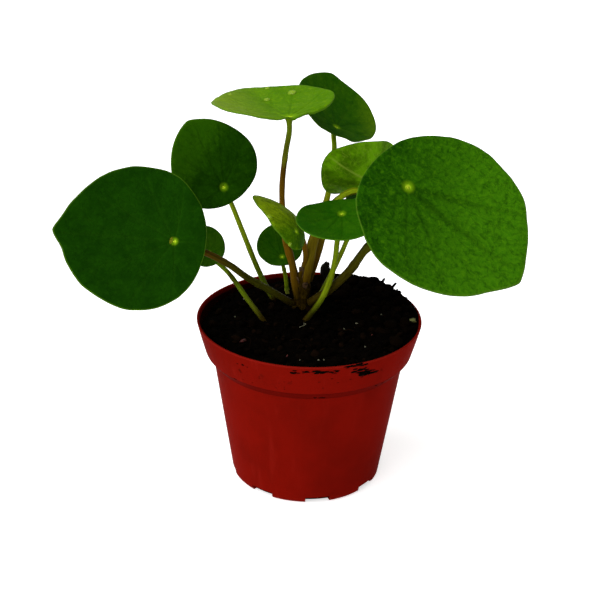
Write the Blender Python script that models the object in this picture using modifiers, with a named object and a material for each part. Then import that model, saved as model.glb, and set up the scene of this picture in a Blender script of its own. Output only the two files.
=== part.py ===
"""Young Chinese money plant in a 9 cm nursery pot.

Lengths are in metres and +Z is up.  The origin is the middle of the pot's underside, and the
front of the plant faces -Y.
"""
import math

import bmesh
import bpy
from mathutils import Matrix, Vector, noise

MM = 0.001
WELD = 0.01 * MM
CURVE_STEPS = 16
SMOOTH_UP_TO = math.radians(35)

# Nursery pot: a thin straight taper with a wider collar round the top.
POT_HEIGHT = 68.4 * MM
RIM_RADIUS = 45.0 * MM
COLLAR_MID_RADIUS = 43.5 * MM
COLLAR_MID_DROP = 6.0 * MM
COLLAR_LOW_RADIUS = 41.5 * MM
COLLAR_LOW_DROP = 13.1 * MM
NECK_RADIUS = 38.3 * MM
NECK_DROP = 16.6 * MM
BASE_RADIUS = 30.4 * MM
BASE_EDGE = 0.9 * MM
POT_WALL = 0.9 * MM
POT_FLOOR = 1.0 * MM
POT_SEGMENTS = 48

# Drain notches through the bottom corner of the pot.
NOTCH_COUNT = 8
NOTCH_FIRST_ANGLE = math.radians(-80)
NOTCH_WIDTH = 10.0 * MM
NOTCH_OVERRUN = 3.0 * MM
NOTCH_HEIGHT = 2.6 * MM
NOTCH_INNER_RADIUS = 25.0 * MM

# Compost, heaped towards the back right of the pot.
GAP = 0.3 * MM
SOIL_SEGMENTS = 40
SOIL_RINGS = 9
SOIL_LEVEL = 65.8 * MM
SOIL_HEAP = 5.2 * MM
SOIL_HEAP_ANGLE = math.radians(42)
SOIL_HOLLOW = 1.6 * MM
SOIL_LUMP_HEIGHT = 0.9 * MM
SOIL_LUMP_WIDTH = 6.0 * MM
SOIL_LUMP_SHAPE = (0.8, 2.1, 3)
SOIL_EDGE_DIP = 1.4 * MM
SOIL_EDGE_START = 0.9
SOIL_EDGE_WIDTH = 0.22
SOIL_SHOULDER_SLOPE = 1.0
SOIL_NECK_LIFT = 0.1 * MM
BARK_PLACE = (6.5 * MM, 36.0 * MM, 73.6 * MM)
BARK_SIZE = (4.2 * MM, 3.2 * MM, 6.4 * MM)
BARK_TURN = (math.radians(-12), math.radians(9), math.radians(25))
BARK_LUMP = 0.35
BARK_LUMPS_ACROSS = 3.1
BARK_SUBDIVISIONS = 2
SOCKET_CLEARANCE = 0.45 * MM
SOCKET_LENGTH = 20.0 * MM
SOCKET_SEGMENTS = 12

# Main stem: short, brown and woody, with thicker rings where old leaves sat.
STEM_PATH = [(-4.2, 11.4, 60.8), (-3.6, 12.0, 67.0), (-2.9, 12.9, 75.0), (-2.3, 13.5, 80.2)]
STEM_RADIUS = 3.1 * MM
STEM_SAMPLES = 10
STEM_FOOT = 1.06
STEM_TOP = 0.96
STEM_RINGS = 3
STEM_RING_SWELL = 0.07
STEM_SOCKET_WIDTH = 1.16
CROWN_RADIUS = 2.4 * MM
CROWN_CLEARANCE = 1.4 * MM

BLADE_THICKNESS = 0.9 * MM
TIP_ANGLE = 0.30
TIP_SHARPNESS = 1.3

# Every leaf: where its stalk joins it (mm), how far it leans from level, the compass direction it
# leans to (0 along +X, 90 along +Y) and where its tip points, measured round the blade from
# downhill (degrees).  Then its half length and half width, how far its middle sits from the
# stalk, how much it is cupped at its edge and folded along its midrib (mm).  The last values
# shape its outline: the length of the drip tip, a sideways skew and a three-lobed wave.
LEAVES = {
    "left": dict(at=(-51.4, -20, 107.6), lean=56, facing=-100, turn=-89, half=(28, 28),
                 offset=14, cup=2.0, fold=-1.0, tip=0.12, skew=-0.01, wave=0.01),
    "upper_left": dict(at=(-34.6, 10, 118.7), lean=68, facing=-68, turn=-156, half=(17.3, 17.5),
                       offset=10, cup=0.8, fold=2.8, tip=0.10, skew=0.01, wave=0.03),
    "top": dict(at=(-9.5, 4, 150.2), lean=7, facing=112, turn=2, half=(24.3, 25.2),
                offset=16.2, cup=1.3, fold=3.2, tip=0.19, skew=-0.075, wave=0.02),
    "top_back": dict(at=(9.5, 45, 133.8), lean=27, facing=-19, turn=126, half=(18.5, 18.5),
                     offset=7.7, cup=4.4, fold=-0.6, tip=0.06, skew=0.01, wave=0.01),
    "folded": dict(at=(22.7, 18, 121.1), lean=50, facing=138, turn=116, half=(16.1, 15.9),
                   offset=6, cup=6.0, fold=-1.2, tip=0.03, skew=-0.01, wave=0.035),
    "young": dict(at=(-5.5, -4, 106.5), lean=58, facing=-26, turn=163, half=(13.4, 9.2),
                  offset=6.3, cup=-6.0, fold=0.0, tip=0.02, skew=-0.005, wave=0.0),
    "centre": dict(at=(11.5, -2, 113.6), lean=21, facing=-108, turn=20, half=(16.6, 17.4),
                   offset=8.6, cup=4.0, fold=1.3, tip=0.03, skew=-0.01, wave=0.03),
    "right": dict(at=(34.4, -32, 135.8), lean=46, facing=-70, turn=35, half=(31.8, 31.6),
                  offset=16, cup=2.0, fold=1.7, tip=0.13, skew=0.0, wave=0.01),
    "small_left": dict(at=(-40.6, 8, 91.6), lean=52, facing=-69, turn=-154, half=(8.5, 8.5),
                       offset=3.1, cup=0.3, fold=0.8, tip=0.05, skew=0.0, wave=-0.005),
    "small_back": dict(at=(-11.7, 20, 85.7), lean=31, facing=-86, turn=-169, half=(9.4, 9.4),
                       offset=4.8, cup=1.5, fold=-0.9, tip=0.04, skew=0.0, wave=0.005),
    "far_right": dict(at=(39.0, 38, 114), lean=35, facing=-15, turn=0, half=(16, 16),
                      offset=6.5, cup=1.5, fold=0.8, tip=0.06, skew=0.01, wave=0.01),
    "low_right": dict(at=(26, 24, 105.4), lean=7, facing=-17, turn=60, half=(17.6, 17.6),
                      offset=6.9, cup=1.1, fold=-0.2, tip=0.05, skew=0.0, wave=0.005),
}
LIME_LEAVES = ("top", "folded", "young")
LARGE_BLADE = 17.0
LARGE_BLADE_CELLS = 10
SMALL_BLADE_CELLS = 8
LOBES = 3

# Every stalk: its radius, whether it stands in the soil, and the points (mm) that it passes
# through before it turns up into the underside of its blade.  A stalk with a crown angle starts
# on top of the main stem, at that angle round it.
STALKS = {
    "left": dict(radius=1.3, rooted=False, crown=None,
                 path=[(-7.0, 9.4, 69.6), (-10.5, 6.8, 72.9), (-19.1, 2, 80.3),
                       (-25.2, -3, 86.2), (-31.2, -8, 93.1), (-39.9, -14, 100.6)]),
    "right": dict(radius=1.6, rooted=False, crown=None,
                  path=[(0.3, 9.2, 70.2), (7.7, 4, 78.5), (15.4, -2, 89.5), (22.1, -11.5, 103.9),
                        (31.5, -17.5, 112.5), (34.2, -25, 124.0)]),
    "upper_left": dict(radius=1.05, rooted=True, crown=None,
                       path=[(-12.4, 21.0, 61.6), (-15.4, 20.3, 67.0), (-19.3, 19, 75.4),
                             (-23.0, 17, 85.1), (-27.8, 15, 98.8), (-32.1, 13.2, 110.9)]),
    "top": dict(radius=1.15, rooted=False, crown=150,
                path=[(-7.7, 14.8, 86.4), (-10.3, 15.5, 94.8), (-11.8, 15, 109.9),
                      (-11.8, 12.5, 121.3), (-10.6, 8.5, 134.2), (-9.4, 5.5, 142.6)]),
    "top_back": dict(radius=1.15, rooted=False, crown=294,
                     path=[(0.6, 11, 95.0), (3.4, 15, 103.1), (6.3, 22, 112.1),
                           (8.1, 32, 121.4), (8.6, 40, 126.0)]),
    "folded": dict(radius=1.15, rooted=False, crown=6,
                   path=[(3.7, 14.8, 95.4), (6.9, 13.8, 105.4), (10.3, 12.4, 113.9),
                         (16.0, 10.0, 118.6), (21.2, 12.0, 117.0)]),
    "far_right": dict(radius=1.1, rooted=False, crown=78,
                      path=[(2.8, 18, 93.2), (5.8, 20.8, 102.8), (10.3, 25, 109.4),
                            (20.5, 31, 111.0), (31.0, 36, 107.0)]),
    "young": dict(radius=1.05, rooted=False, crown=222,
                  path=[(-2.9, 9.0, 88.5), (-2.4, 6.2, 96.5), (-4.2, 3.4, 101.5)]),
    "centre": dict(radius=1.1, rooted=True, crown=None,
                   path=[(-3.8, 2.8, 61.6), (-0.9, 1.9, 66.4), (4.5, 0.6, 75.4),
                         (7.9, -0.6, 84.7), (9.6, -1.3, 93.7), (10.3, -1.4, 102.6)]),
    "low_right": dict(radius=1.0, rooted=True, crown=None,
                      path=[(1.6, 20.2, 61.6), (3.4, 20, 67.0), (8.7, 20.2, 78.4),
                            (12.7, 21, 87.9), (15.4, 21.6, 94.2), (20.8, 22.4, 99.8)]),
    "small_left": dict(radius=0.95, rooted=True, crown=None,
                       path=[(-14.6, -2.4, 61.6), (-19.3, -0.6, 67.8), (-24.6, 1.4, 74.3),
                             (-30.4, 5.8, 80.8), (-34.6, 9.8, 84.0)]),
    "small_back": dict(radius=0.85, rooted=True, crown=None,
                       path=[(-8.7, 23.6, 61.6), (-9.3, 22.6, 67.8), (-10.1, 21.6, 75.6)]),
}
STALK_SAMPLES = 12
TUBE_BEVEL = 2
STALK_FOOT_SWELL = 1.12
STALK_TIP_TAPER = 0.9
STALK_NECK = 2.2
STALK_END_GAP = 0.45 * MM

POT_COLOUR = (0.42, 0.012, 0.010)
SOIL_COLOUR = (0.012, 0.008, 0.006)
STEM_COLOUR = (0.16, 0.075, 0.022)
STALK_COLOURS = {
    "left": (0.17, 0.10, 0.03),
    "right": (0.14, 0.13, 0.03),
    "top": (0.20, 0.10, 0.03),
    "top_back": (0.22, 0.11, 0.02),
    "far_right": (0.26, 0.14, 0.02),
}
STALK_GREEN = (0.22, 0.28, 0.04)
DEEP_GREEN = (0.020, 0.115, 0.010)
LIME_GREEN = (0.110, 0.260, 0.018)
BARK_COLOUR = (0.020, 0.013, 0.009)


def clear_scene():
    for thing in list(bpy.data.objects):
        bpy.data.objects.remove(thing, do_unlink=True)


def new_collection(name):
    collection = bpy.data.collections.new(name)
    bpy.context.scene.collection.children.link(collection)
    return collection


def make_material(name, colour, roughness, metallic=0.0):
    material = bpy.data.materials.new(name)
    material.use_nodes = True
    shader = material.node_tree.nodes["Principled BSDF"]
    shader.inputs["Base Color"].default_value = (*colour, 1.0)
    shader.inputs["Roughness"].default_value = roughness
    shader.inputs["Metallic"].default_value = metallic
    return material


def smooth_path(points, samples):
    """Points at even steps along a smooth curve through the given points."""
    ends = [points[0] * 2 - points[1], *points, points[-1] * 2 - points[-2]]
    fine = []
    for i in range(1, len(ends) - 2):
        before, start, end, after = ends[i - 1:i + 3]
        for k in range(CURVE_STEPS):
            t = k / CURVE_STEPS
            fine.append(0.5 * (2 * start + (end - before) * t
                               + (2 * before - 5 * start + 4 * end - after) * t * t
                               + (3 * start - before - 3 * end + after) * t ** 3))
    fine.append(points[-1].copy())
    travelled = [0.0]
    for a, b in zip(fine, fine[1:]):
        travelled.append(travelled[-1] + (b - a).length)
    out = []
    k = 0
    for i in range(samples):
        target = travelled[-1] * i / (samples - 1)
        while k < len(fine) - 2 and travelled[k + 1] < target:
            k += 1
        share = (target - travelled[k]) / (travelled[k + 1] - travelled[k])
        out.append(fine[k].lerp(fine[k + 1], min(max(share, 0.0), 1.0)))
    return out


def make_tube(name, collection, points, radius, swell):
    """A round stalk along the points; swell gives the radius factor at each share of its length."""
    data = bpy.data.curves.new(name, "CURVE")
    data.dimensions = "3D"
    data.bevel_depth = radius
    data.bevel_resolution = TUBE_BEVEL
    data.use_fill_caps = True
    spline = data.splines.new("POLY")
    spline.points.add(len(points) - 1)
    for i, place in enumerate(points):
        spline.points[i].co = (*place, 1.0)
        spline.points[i].radius = swell(i / (len(points) - 1))
    tube = bpy.data.objects.new(name, data)
    collection.objects.link(tube)
    return tube


def to_mesh(thing):
    """Turn a curve, or a mesh with modifiers, into one plain welded mesh object."""
    evaluated = thing.evaluated_get(bpy.context.evaluated_depsgraph_get())
    mesh = bpy.data.meshes.new_from_object(evaluated)
    bm = bmesh.new()
    bm.from_mesh(mesh)
    bmesh.ops.remove_doubles(bm, verts=bm.verts, dist=WELD)
    bm.to_mesh(mesh)
    bm.free()
    name = thing.name
    collection = thing.users_collection[0]
    matrix = thing.matrix_world.copy()
    bpy.data.objects.remove(thing, do_unlink=True)
    solid = bpy.data.objects.new(name, mesh)
    solid.matrix_world = matrix
    collection.objects.link(solid)
    return solid


def turned(name, collection, profile, segments):
    """A solid of revolution about Z from (radius, height) points that run down the outer side."""
    bm = bmesh.new()
    ring = [bm.verts.new((radius, 0.0, height)) for radius, height in profile]
    for a, b in zip(ring, ring[1:]):
        bm.edges.new((a, b))
    mesh = bpy.data.meshes.new(name)
    bm.to_mesh(mesh)
    bm.free()
    thing = bpy.data.objects.new(name, mesh)
    collection.objects.link(thing)
    screw = thing.modifiers.new("Turn", "SCREW")
    screw.axis = "Z"
    screw.steps = segments
    screw.render_steps = segments
    screw.use_merge_vertices = True
    screw.merge_threshold = WELD
    return thing


def cut(thing, cutter):
    boolean = thing.modifiers.new("Cut " + cutter.name, "BOOLEAN")
    boolean.operation = "DIFFERENCE"
    boolean.solver = "EXACT"
    boolean.object = cutter
    cutter.display_type = "WIRE"
    cutter.hide_render = True


def shade(thing):
    thing.data.shade_smooth()
    thing.data.set_sharp_from_angle(angle=SMOOTH_UP_TO)


def outer_side():
    """The pot's outer side from rim to floor, as (radius, height)."""
    return [
        (RIM_RADIUS, POT_HEIGHT),
        (COLLAR_MID_RADIUS, POT_HEIGHT - COLLAR_MID_DROP),
        (COLLAR_LOW_RADIUS, POT_HEIGHT - COLLAR_LOW_DROP),
        (NECK_RADIUS, POT_HEIGHT - NECK_DROP),
        (BASE_RADIUS, BASE_EDGE),
        (BASE_RADIUS - BASE_EDGE, 0.0),
    ]


def wall_radius(height):
    """Outer radius of the pot at a height above its floor."""
    side = outer_side()
    for (upper, top), (lower, bottom) in zip(side, side[1:]):
        if height >= bottom:
            share = (height - bottom) / (top - bottom)
            return lower + (upper - lower) * share
    return BASE_RADIUS


def notch_cutter(collection):
    bm = bmesh.new()
    outer = BASE_RADIUS + NOTCH_OVERRUN
    depth = outer - NOTCH_INNER_RADIUS
    for i in range(NOTCH_COUNT):
        angle = NOTCH_FIRST_ANGLE + i * 2 * math.pi / NOTCH_COUNT
        place = Matrix.Rotation(angle, 4, "Z")
        place @= Matrix.Translation((NOTCH_INNER_RADIUS + depth / 2, 0, 0))
        place @= Matrix.Diagonal((depth, NOTCH_WIDTH, 2 * NOTCH_HEIGHT, 1))
        bmesh.ops.create_cube(bm, size=1.0, matrix=place)
    mesh = bpy.data.meshes.new("drain_notch_cutter")
    bm.to_mesh(mesh)
    bm.free()
    cutter = bpy.data.objects.new("drain_notch_cutter", mesh)
    collection.objects.link(cutter)
    return cutter


def make_pot(parts, cutters):
    outer = outer_side()
    inner = [(radius - POT_WALL, height) for radius, height in outer[:4]]
    inner.append((wall_radius(POT_FLOOR) - POT_WALL, POT_FLOOR))
    inner.append((0.0, POT_FLOOR))
    profile = list(reversed(inner)) + outer + [(0.0, 0.0)]
    pot = turned("pot", parts, profile, POT_SEGMENTS)
    pot = to_mesh(pot)
    cut(pot, notch_cutter(cutters))
    shade(pot)
    pot.data.materials.append(make_material("pot_plastic", POT_COLOUR, 0.42))
    return pot


def soil_height(x, y):
    """Height of the compost surface above the underside of the pot."""
    reach = math.hypot(x, y) / NECK_RADIUS
    across = (x * math.cos(SOIL_HEAP_ANGLE) + y * math.sin(SOIL_HEAP_ANGLE)) / NECK_RADIUS
    heap = SOIL_HEAP * across ** 3 if across > 0 else SOIL_HOLLOW * across
    lumps = noise.fractal(Vector((x, y, 0.0)) / SOIL_LUMP_WIDTH, *SOIL_LUMP_SHAPE)
    edge = SOIL_EDGE_DIP * max(reach - SOIL_EDGE_START, 0.0) / SOIL_EDGE_WIDTH
    height = SOIL_LEVEL + heap + SOIL_LUMP_HEIGHT * lumps - edge
    inward = RIM_RADIUS - POT_WALL - math.hypot(x, y)
    return min(height, POT_HEIGHT + SOIL_SHOULDER_SLOPE * inward)


def socket_cutter(name, collection, foot, above, radius):
    """A round cutter for the hole that a stalk stands in, from below its foot to clear air."""
    along = (above - foot).normalized()
    start = foot - along * SOCKET_CLEARANCE
    bm = bmesh.new()
    turn = Vector((0, 0, 1)).rotation_difference(along).to_matrix().to_4x4()
    place = Matrix.Translation(start + along * SOCKET_LENGTH / 2) @ turn
    wide = radius + SOCKET_CLEARANCE
    bmesh.ops.create_cone(bm, cap_ends=True, segments=SOCKET_SEGMENTS, radius1=wide,
                          radius2=wide, depth=SOCKET_LENGTH, matrix=place)
    mesh = bpy.data.meshes.new(name)
    bm.to_mesh(mesh)
    bm.free()
    cutter = bpy.data.objects.new(name, mesh)
    collection.objects.link(cutter)
    return cutter


def make_soil(parts):
    clear = POT_WALL + GAP
    top_edge = wall_radius(SOIL_LEVEL) - clear
    profile = [(top_edge * i / SOIL_RINGS, SOIL_LEVEL) for i in range(SOIL_RINGS)]
    side = outer_side()
    profile += [
        (top_edge, SOIL_LEVEL),
        (side[2][0] - clear, side[2][1]),
        (side[3][0] - clear, side[3][1] + SOIL_NECK_LIFT),
        (wall_radius(POT_FLOOR + GAP) - clear, POT_FLOOR + GAP),
        (0.0, POT_FLOOR + GAP),
    ]
    soil = to_mesh(turned("soil", parts, profile, SOIL_SEGMENTS))
    for vertex in soil.data.vertices:
        if vertex.co.z > SOIL_LEVEL - WELD:
            reach = math.hypot(vertex.co.x, vertex.co.y)
            vertex.co.z = soil_height(vertex.co.x, vertex.co.y)
            if reach > top_edge - WELD:
                wall = (wall_radius(min(vertex.co.z, POT_HEIGHT)) - clear) / reach
                vertex.co.x *= wall
                vertex.co.y *= wall
    soil.data.materials.append(make_material("compost", SOIL_COLOUR, 0.95))
    return soil


def make_bark(parts):
    """A rough chip of bark that sticks up out of the compost near the back of the rim."""
    bm = bmesh.new()
    bmesh.ops.create_icosphere(bm, subdivisions=BARK_SUBDIVISIONS, radius=0.5)
    for vertex in bm.verts:
        vertex.co *= 1 + BARK_LUMP * noise.noise(vertex.co * BARK_LUMPS_ACROSS)
        vertex.co = Vector([side * size for side, size in zip(vertex.co, BARK_SIZE)])
    mesh = bpy.data.meshes.new("bark_chip")
    bm.to_mesh(mesh)
    bm.free()
    chip = bpy.data.objects.new("bark_chip", mesh)
    parts.objects.link(chip)
    chip.location = BARK_PLACE
    chip.rotation_euler = BARK_TURN
    mesh.materials.append(make_material("bark", BARK_COLOUR, 0.9))
    return chip


def stem_points():
    return smooth_path([Vector(p) * MM for p in STEM_PATH], STEM_SAMPLES)


def make_stem(parts):
    def swell(share):
        taper = STEM_FOOT + (STEM_TOP - STEM_FOOT) * share
        return taper + STEM_RING_SWELL * math.cos(share * STEM_RINGS * 2 * math.pi)

    stem = make_tube("main_stem", parts, stem_points(), STEM_RADIUS, swell)
    stem.data.materials.append(make_material("stem_bark", STEM_COLOUR, 0.7))
    return stem


def blade_matrix(leaf):
    matrix = Matrix.Translation(Vector(leaf["at"]) * MM)
    matrix @= Matrix.Rotation(math.radians(leaf["facing"]), 4, "Z")
    matrix @= Matrix.Rotation(math.radians(leaf["lean"]), 4, "Y")
    matrix @= Matrix.Rotation(math.radians(leaf["turn"]), 4, "Z")
    return matrix


def make_blade(name, leaf, colour, parts):
    """A round sheet with a short drip tip, cupped about its stalk and thickened underneath."""
    half_length, half_width = leaf["half"]
    cells = LARGE_BLADE_CELLS if half_length > LARGE_BLADE else SMALL_BLADE_CELLS
    bm = bmesh.new()
    bmesh.ops.create_grid(bm, x_segments=cells, y_segments=cells, size=1.0)
    for vertex in bm.verts:
        x, y = vertex.co.x, vertex.co.y
        u = x * math.sqrt(1 - y * y / 2)
        v = y * math.sqrt(1 - x * x / 2)
        angle = math.atan2(v, u)
        outline = leaf["tip"] * math.exp(-abs(angle / TIP_ANGLE) ** TIP_SHARPNESS)
        outline += leaf["skew"] * math.sin(2 * angle) + leaf["wave"] * math.cos(LOBES * angle)
        stretch = 1 + outline * (u * u + v * v)
        along = leaf["offset"] + half_length * u * stretch
        across = half_width * v * stretch
        rise = leaf["cup"] * (along ** 2 + across ** 2) / half_length ** 2
        rise += leaf["fold"] * abs(across) / half_width
        vertex.co = Vector((along, across, rise)) * MM
    mesh = bpy.data.meshes.new(name)
    bm.to_mesh(mesh)
    bm.free()
    blade = bpy.data.objects.new(name, mesh)
    parts.objects.link(blade)
    blade.matrix_world = blade_matrix(leaf)
    thick = blade.modifiers.new("Thickness", "SOLIDIFY")
    thick.thickness = BLADE_THICKNESS
    thick.offset = -1.0
    mesh.shade_smooth()
    mesh.materials.append(make_material(name + "_skin", colour, 0.38))
    return blade


def crown_point(angle):
    """Where a stalk starts on top of the main stem."""
    top = Vector(STEM_PATH[-1]) * MM
    turn = math.radians(angle)
    out = Vector((math.cos(turn), math.sin(turn), 0.0)) * CROWN_RADIUS
    return top + out + Vector((0.0, 0.0, CROWN_CLEARANCE))


def stalk_points(name):
    stalk = STALKS[name]
    path = [Vector(p) * MM for p in stalk["path"]]
    if stalk["crown"] is not None:
        path.insert(0, crown_point(stalk["crown"]))
    matrix = blade_matrix(LEAVES[name])
    under = matrix.to_3x3() @ Vector((0.0, 0.0, -1.0))
    join = matrix.translation
    path.append(join + under * (BLADE_THICKNESS + STALK_NECK * stalk["radius"] * MM))
    points = smooth_path(path, STALK_SAMPLES)
    points.append(join + under * (BLADE_THICKNESS + STALK_END_GAP))
    return points


def make_stalk(name, parts):
    stalk = STALKS[name]

    def swell(share):
        return STALK_FOOT_SWELL + (STALK_TIP_TAPER - STALK_FOOT_SWELL) * share

    tube = make_tube("petiole_" + name, parts, stalk_points(name), stalk["radius"] * MM, swell)
    colour = STALK_COLOURS.get(name, STALK_GREEN)
    tube.data.materials.append(make_material("petiole_" + name + "_skin", colour, 0.45))
    return tube


def cut_sockets(soil, cutters):
    stem = stem_points()
    wide = STEM_RADIUS * STEM_SOCKET_WIDTH
    cut(soil, socket_cutter("stem_socket", cutters, stem[0], stem[2], wide))
    for name, stalk in STALKS.items():
        if stalk["rooted"]:
            points = stalk_points(name)
            wide = stalk["radius"] * MM * STALK_FOOT_SWELL
            cut(soil, socket_cutter(name + "_socket", cutters, points[0], points[1], wide))


def main():
    clear_scene()
    parts = new_collection("potted_money_plant")
    cutters = new_collection("cutters")
    make_pot(parts, cutters)
    soil = make_soil(parts)
    make_bark(parts)
    make_stem(parts)
    for name, leaf in LEAVES.items():
        make_stalk(name, parts)
        colour = LIME_GREEN if name in LIME_LEAVES else DEEP_GREEN
        make_blade("leaf_" + name, leaf, colour, parts)
    cut_sockets(soil, cutters)


main()
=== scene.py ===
import math
import random

import bmesh
import bpy
import numpy as np
from mathutils import Matrix, Vector, noise


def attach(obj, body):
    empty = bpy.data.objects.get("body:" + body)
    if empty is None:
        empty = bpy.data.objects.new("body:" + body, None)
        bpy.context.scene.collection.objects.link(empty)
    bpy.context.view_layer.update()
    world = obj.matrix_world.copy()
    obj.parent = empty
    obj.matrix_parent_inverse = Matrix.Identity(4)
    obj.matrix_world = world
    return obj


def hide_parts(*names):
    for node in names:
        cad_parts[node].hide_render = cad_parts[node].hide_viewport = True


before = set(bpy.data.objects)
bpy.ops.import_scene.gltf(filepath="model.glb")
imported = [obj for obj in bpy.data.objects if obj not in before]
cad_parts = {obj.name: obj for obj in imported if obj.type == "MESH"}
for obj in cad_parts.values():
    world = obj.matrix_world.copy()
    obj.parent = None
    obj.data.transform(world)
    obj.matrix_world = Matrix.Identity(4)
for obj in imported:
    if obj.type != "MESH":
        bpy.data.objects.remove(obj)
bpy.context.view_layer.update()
mm = 0.001
print("frame loaded with", len(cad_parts), "nodes")


class Wire:
    # one output socket of a node; sums and products on it add Math nodes

    def __init__(self, finish, socket):
        self.finish = finish
        self.socket = socket

    def maths(self, operation, *values):
        sockets = dict(enumerate(values))
        return self.finish.node("ShaderNodeMath", {"operation": operation}, sockets)

    def __add__(self, other):
        return self.maths("ADD", self, other)

    def __radd__(self, other):
        return self.maths("ADD", other, self)

    def __sub__(self, other):
        return self.maths("SUBTRACT", self, other)

    def __rsub__(self, other):
        return self.maths("SUBTRACT", other, self)

    def __mul__(self, other):
        return self.maths("MULTIPLY", self, other)

    def __rmul__(self, other):
        return self.maths("MULTIPLY", other, self)

    def __truediv__(self, other):
        return self.maths("DIVIDE", self, other)


class Finish:
    # one Principled material and the nodes that feed it

    def __init__(self, name, fixed):
        self.material = bpy.data.materials.new(name)
        self.material.use_nodes = True
        self.tree = self.material.node_tree
        self.shader = self.tree.nodes["Principled BSDF"]
        for socket, value in fixed.items():
            self.shader.inputs[socket].default_value = value

    def node(self, kind, settings=None, sockets=None, output=0):
        made = self.tree.nodes.new(kind)
        for key, value in (settings or {}).items():
            if key == "stops":
                self.fillRamp(made.color_ramp, value)
            else:
                setattr(made, key, value)
        for key, value in (sockets or {}).items():
            self.plug(made.inputs[key], value)
        return Wire(self, made.outputs[output])

    def plug(self, socket, value):
        if isinstance(value, Wire):
            self.tree.links.new(value.socket, socket)
        else:
            socket.default_value = value

    def fillRamp(self, ramp, stops):
        while len(ramp.elements) < len(stops):
            ramp.elements.new(1.0)
        for element, (place, colour) in zip(ramp.elements, stops):
            element.position = place
            element.color = (*colour, 1.0)

    def attribute(self, name, output="Fac"):
        return self.node("ShaderNodeAttribute", {"attribute_name": name}, output=output)

    def grain(self, vector, scale, detail=3.0, rough=0.5):
        sockets = {"Vector": vector, "Scale": scale, "Detail": detail, "Roughness": rough}
        return self.node("ShaderNodeTexNoise", {}, sockets)

    def rise(self, value, low, high):
        # 0 below low, 1 above high, smooth between; high may be the smaller one
        sockets = {"Value": value, "From Min": low, "From Max": high}
        return self.node("ShaderNodeMapRange", {"interpolation_type": "SMOOTHSTEP"}, sockets)

    def mix(self, factor, under, over):
        # places 6 and 7 are the colour sockets of a Mix node, and output 2 its colour
        sockets = {0: factor, 6: self.colour(under), 7: self.colour(over)}
        return self.node("ShaderNodeMix", {"data_type": "RGBA"}, sockets, output=2)

    def colour(self, value):
        return value if isinstance(value, Wire) else (*value, 1.0)

    def stretch(self, vector, scale):
        settings = {"operation": "MULTIPLY"}
        return self.node("ShaderNodeVectorMath", settings, {0: vector, 1: scale})

    def shift(self, vector, offset):
        return self.node("ShaderNodeVectorMath", {"operation": "ADD"}, {0: vector, 1: offset})

    def place(self):
        # object coordinates in metres
        return self.node("ShaderNodeTexCoord", output="Object")

    def use(self, colour=None, roughness=None, height=None, strength=0.5, distance=0.2):
        # distance is in millimetres
        if colour is not None:
            self.plug(self.shader.inputs["Base Color"], self.colour(colour))
        if roughness is not None:
            self.plug(self.shader.inputs["Roughness"], roughness)
        if height is not None:
            sockets = {"Height": height, "Strength": strength, "Distance": distance * mm}
            self.plug(self.shader.inputs["Normal"], self.node("ShaderNodeBump", {}, sockets))
        return self.material


def toned(colour, factor):
    return tuple(part * factor for part in colour)


def meshPiece(name, vertices, faces, material):
    data = bpy.data.meshes.new(name)
    data.from_pydata([tuple(v) for v in vertices], [], faces)
    data.update()
    data.shade_smooth()
    data.materials.append(material)
    piece = bpy.data.objects.new(name, data)
    bpy.context.scene.collection.objects.link(piece)
    return piece


def addValues(piece, name, values):
    values = np.asarray(values, np.float32)
    if values.ndim == 1:
        layer = piece.data.attributes.new(name, "FLOAT", "POINT")
        layer.data.foreach_set("value", values)
    else:
        layer = piece.data.attributes.new(name, "FLOAT_VECTOR", "POINT")
        layer.data.foreach_set("vector", values.ravel())


def ringFaces(rings, count, start=0):
    # quads between closed rings of count points each
    faces = []
    for i in range(rings - 1):
        for j in range(count):
            k = (j + 1) % count
            row = start + i * count
            faces.append((row + j, row + k, row + count + k, row + count + j))
    return faces


def smoothPath(points, samples):
    # even steps along a smooth curve through the points
    points = [np.array(p, float) for p in points]
    ends = [points[0] * 2 - points[1], *points, points[-1] * 2 - points[-2]]
    fine = []
    steps = 24
    for i in range(1, len(ends) - 2):
        before, start, end, after = ends[i - 1:i + 3]
        for k in range(steps):
            t = k / steps
            fine.append(0.5 * (2 * start + (end - before) * t
                               + (2 * before - 5 * start + 4 * end - after) * t * t
                               + (3 * start - before - 3 * end + after) * t ** 3))
    fine = np.array(fine + [points[-1]])
    travelled = np.concatenate([[0.0], np.cumsum(np.linalg.norm(np.diff(fine, axis=0), axis=1))])
    even = np.linspace(0.0, travelled[-1], samples)
    return np.stack([np.interp(even, travelled, fine[:, axis]) for axis in range(3)], axis=1)


def pathFrames(path):
    # two side directions at every point of the path, carried along without twist
    ahead = np.gradient(path, axis=0)
    ahead /= np.linalg.norm(ahead, axis=1)[:, None]
    apart = (0.31, 0.95, 0.05)    # a direction that no path here sets out along
    side = np.cross(ahead[0], apart)
    sides = []
    for direction in ahead:
        side = side - direction * (side @ direction)
        side /= np.linalg.norm(side)
        sides.append(side)
    sides = np.array(sides)
    return sides, np.cross(ahead, sides)


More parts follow.
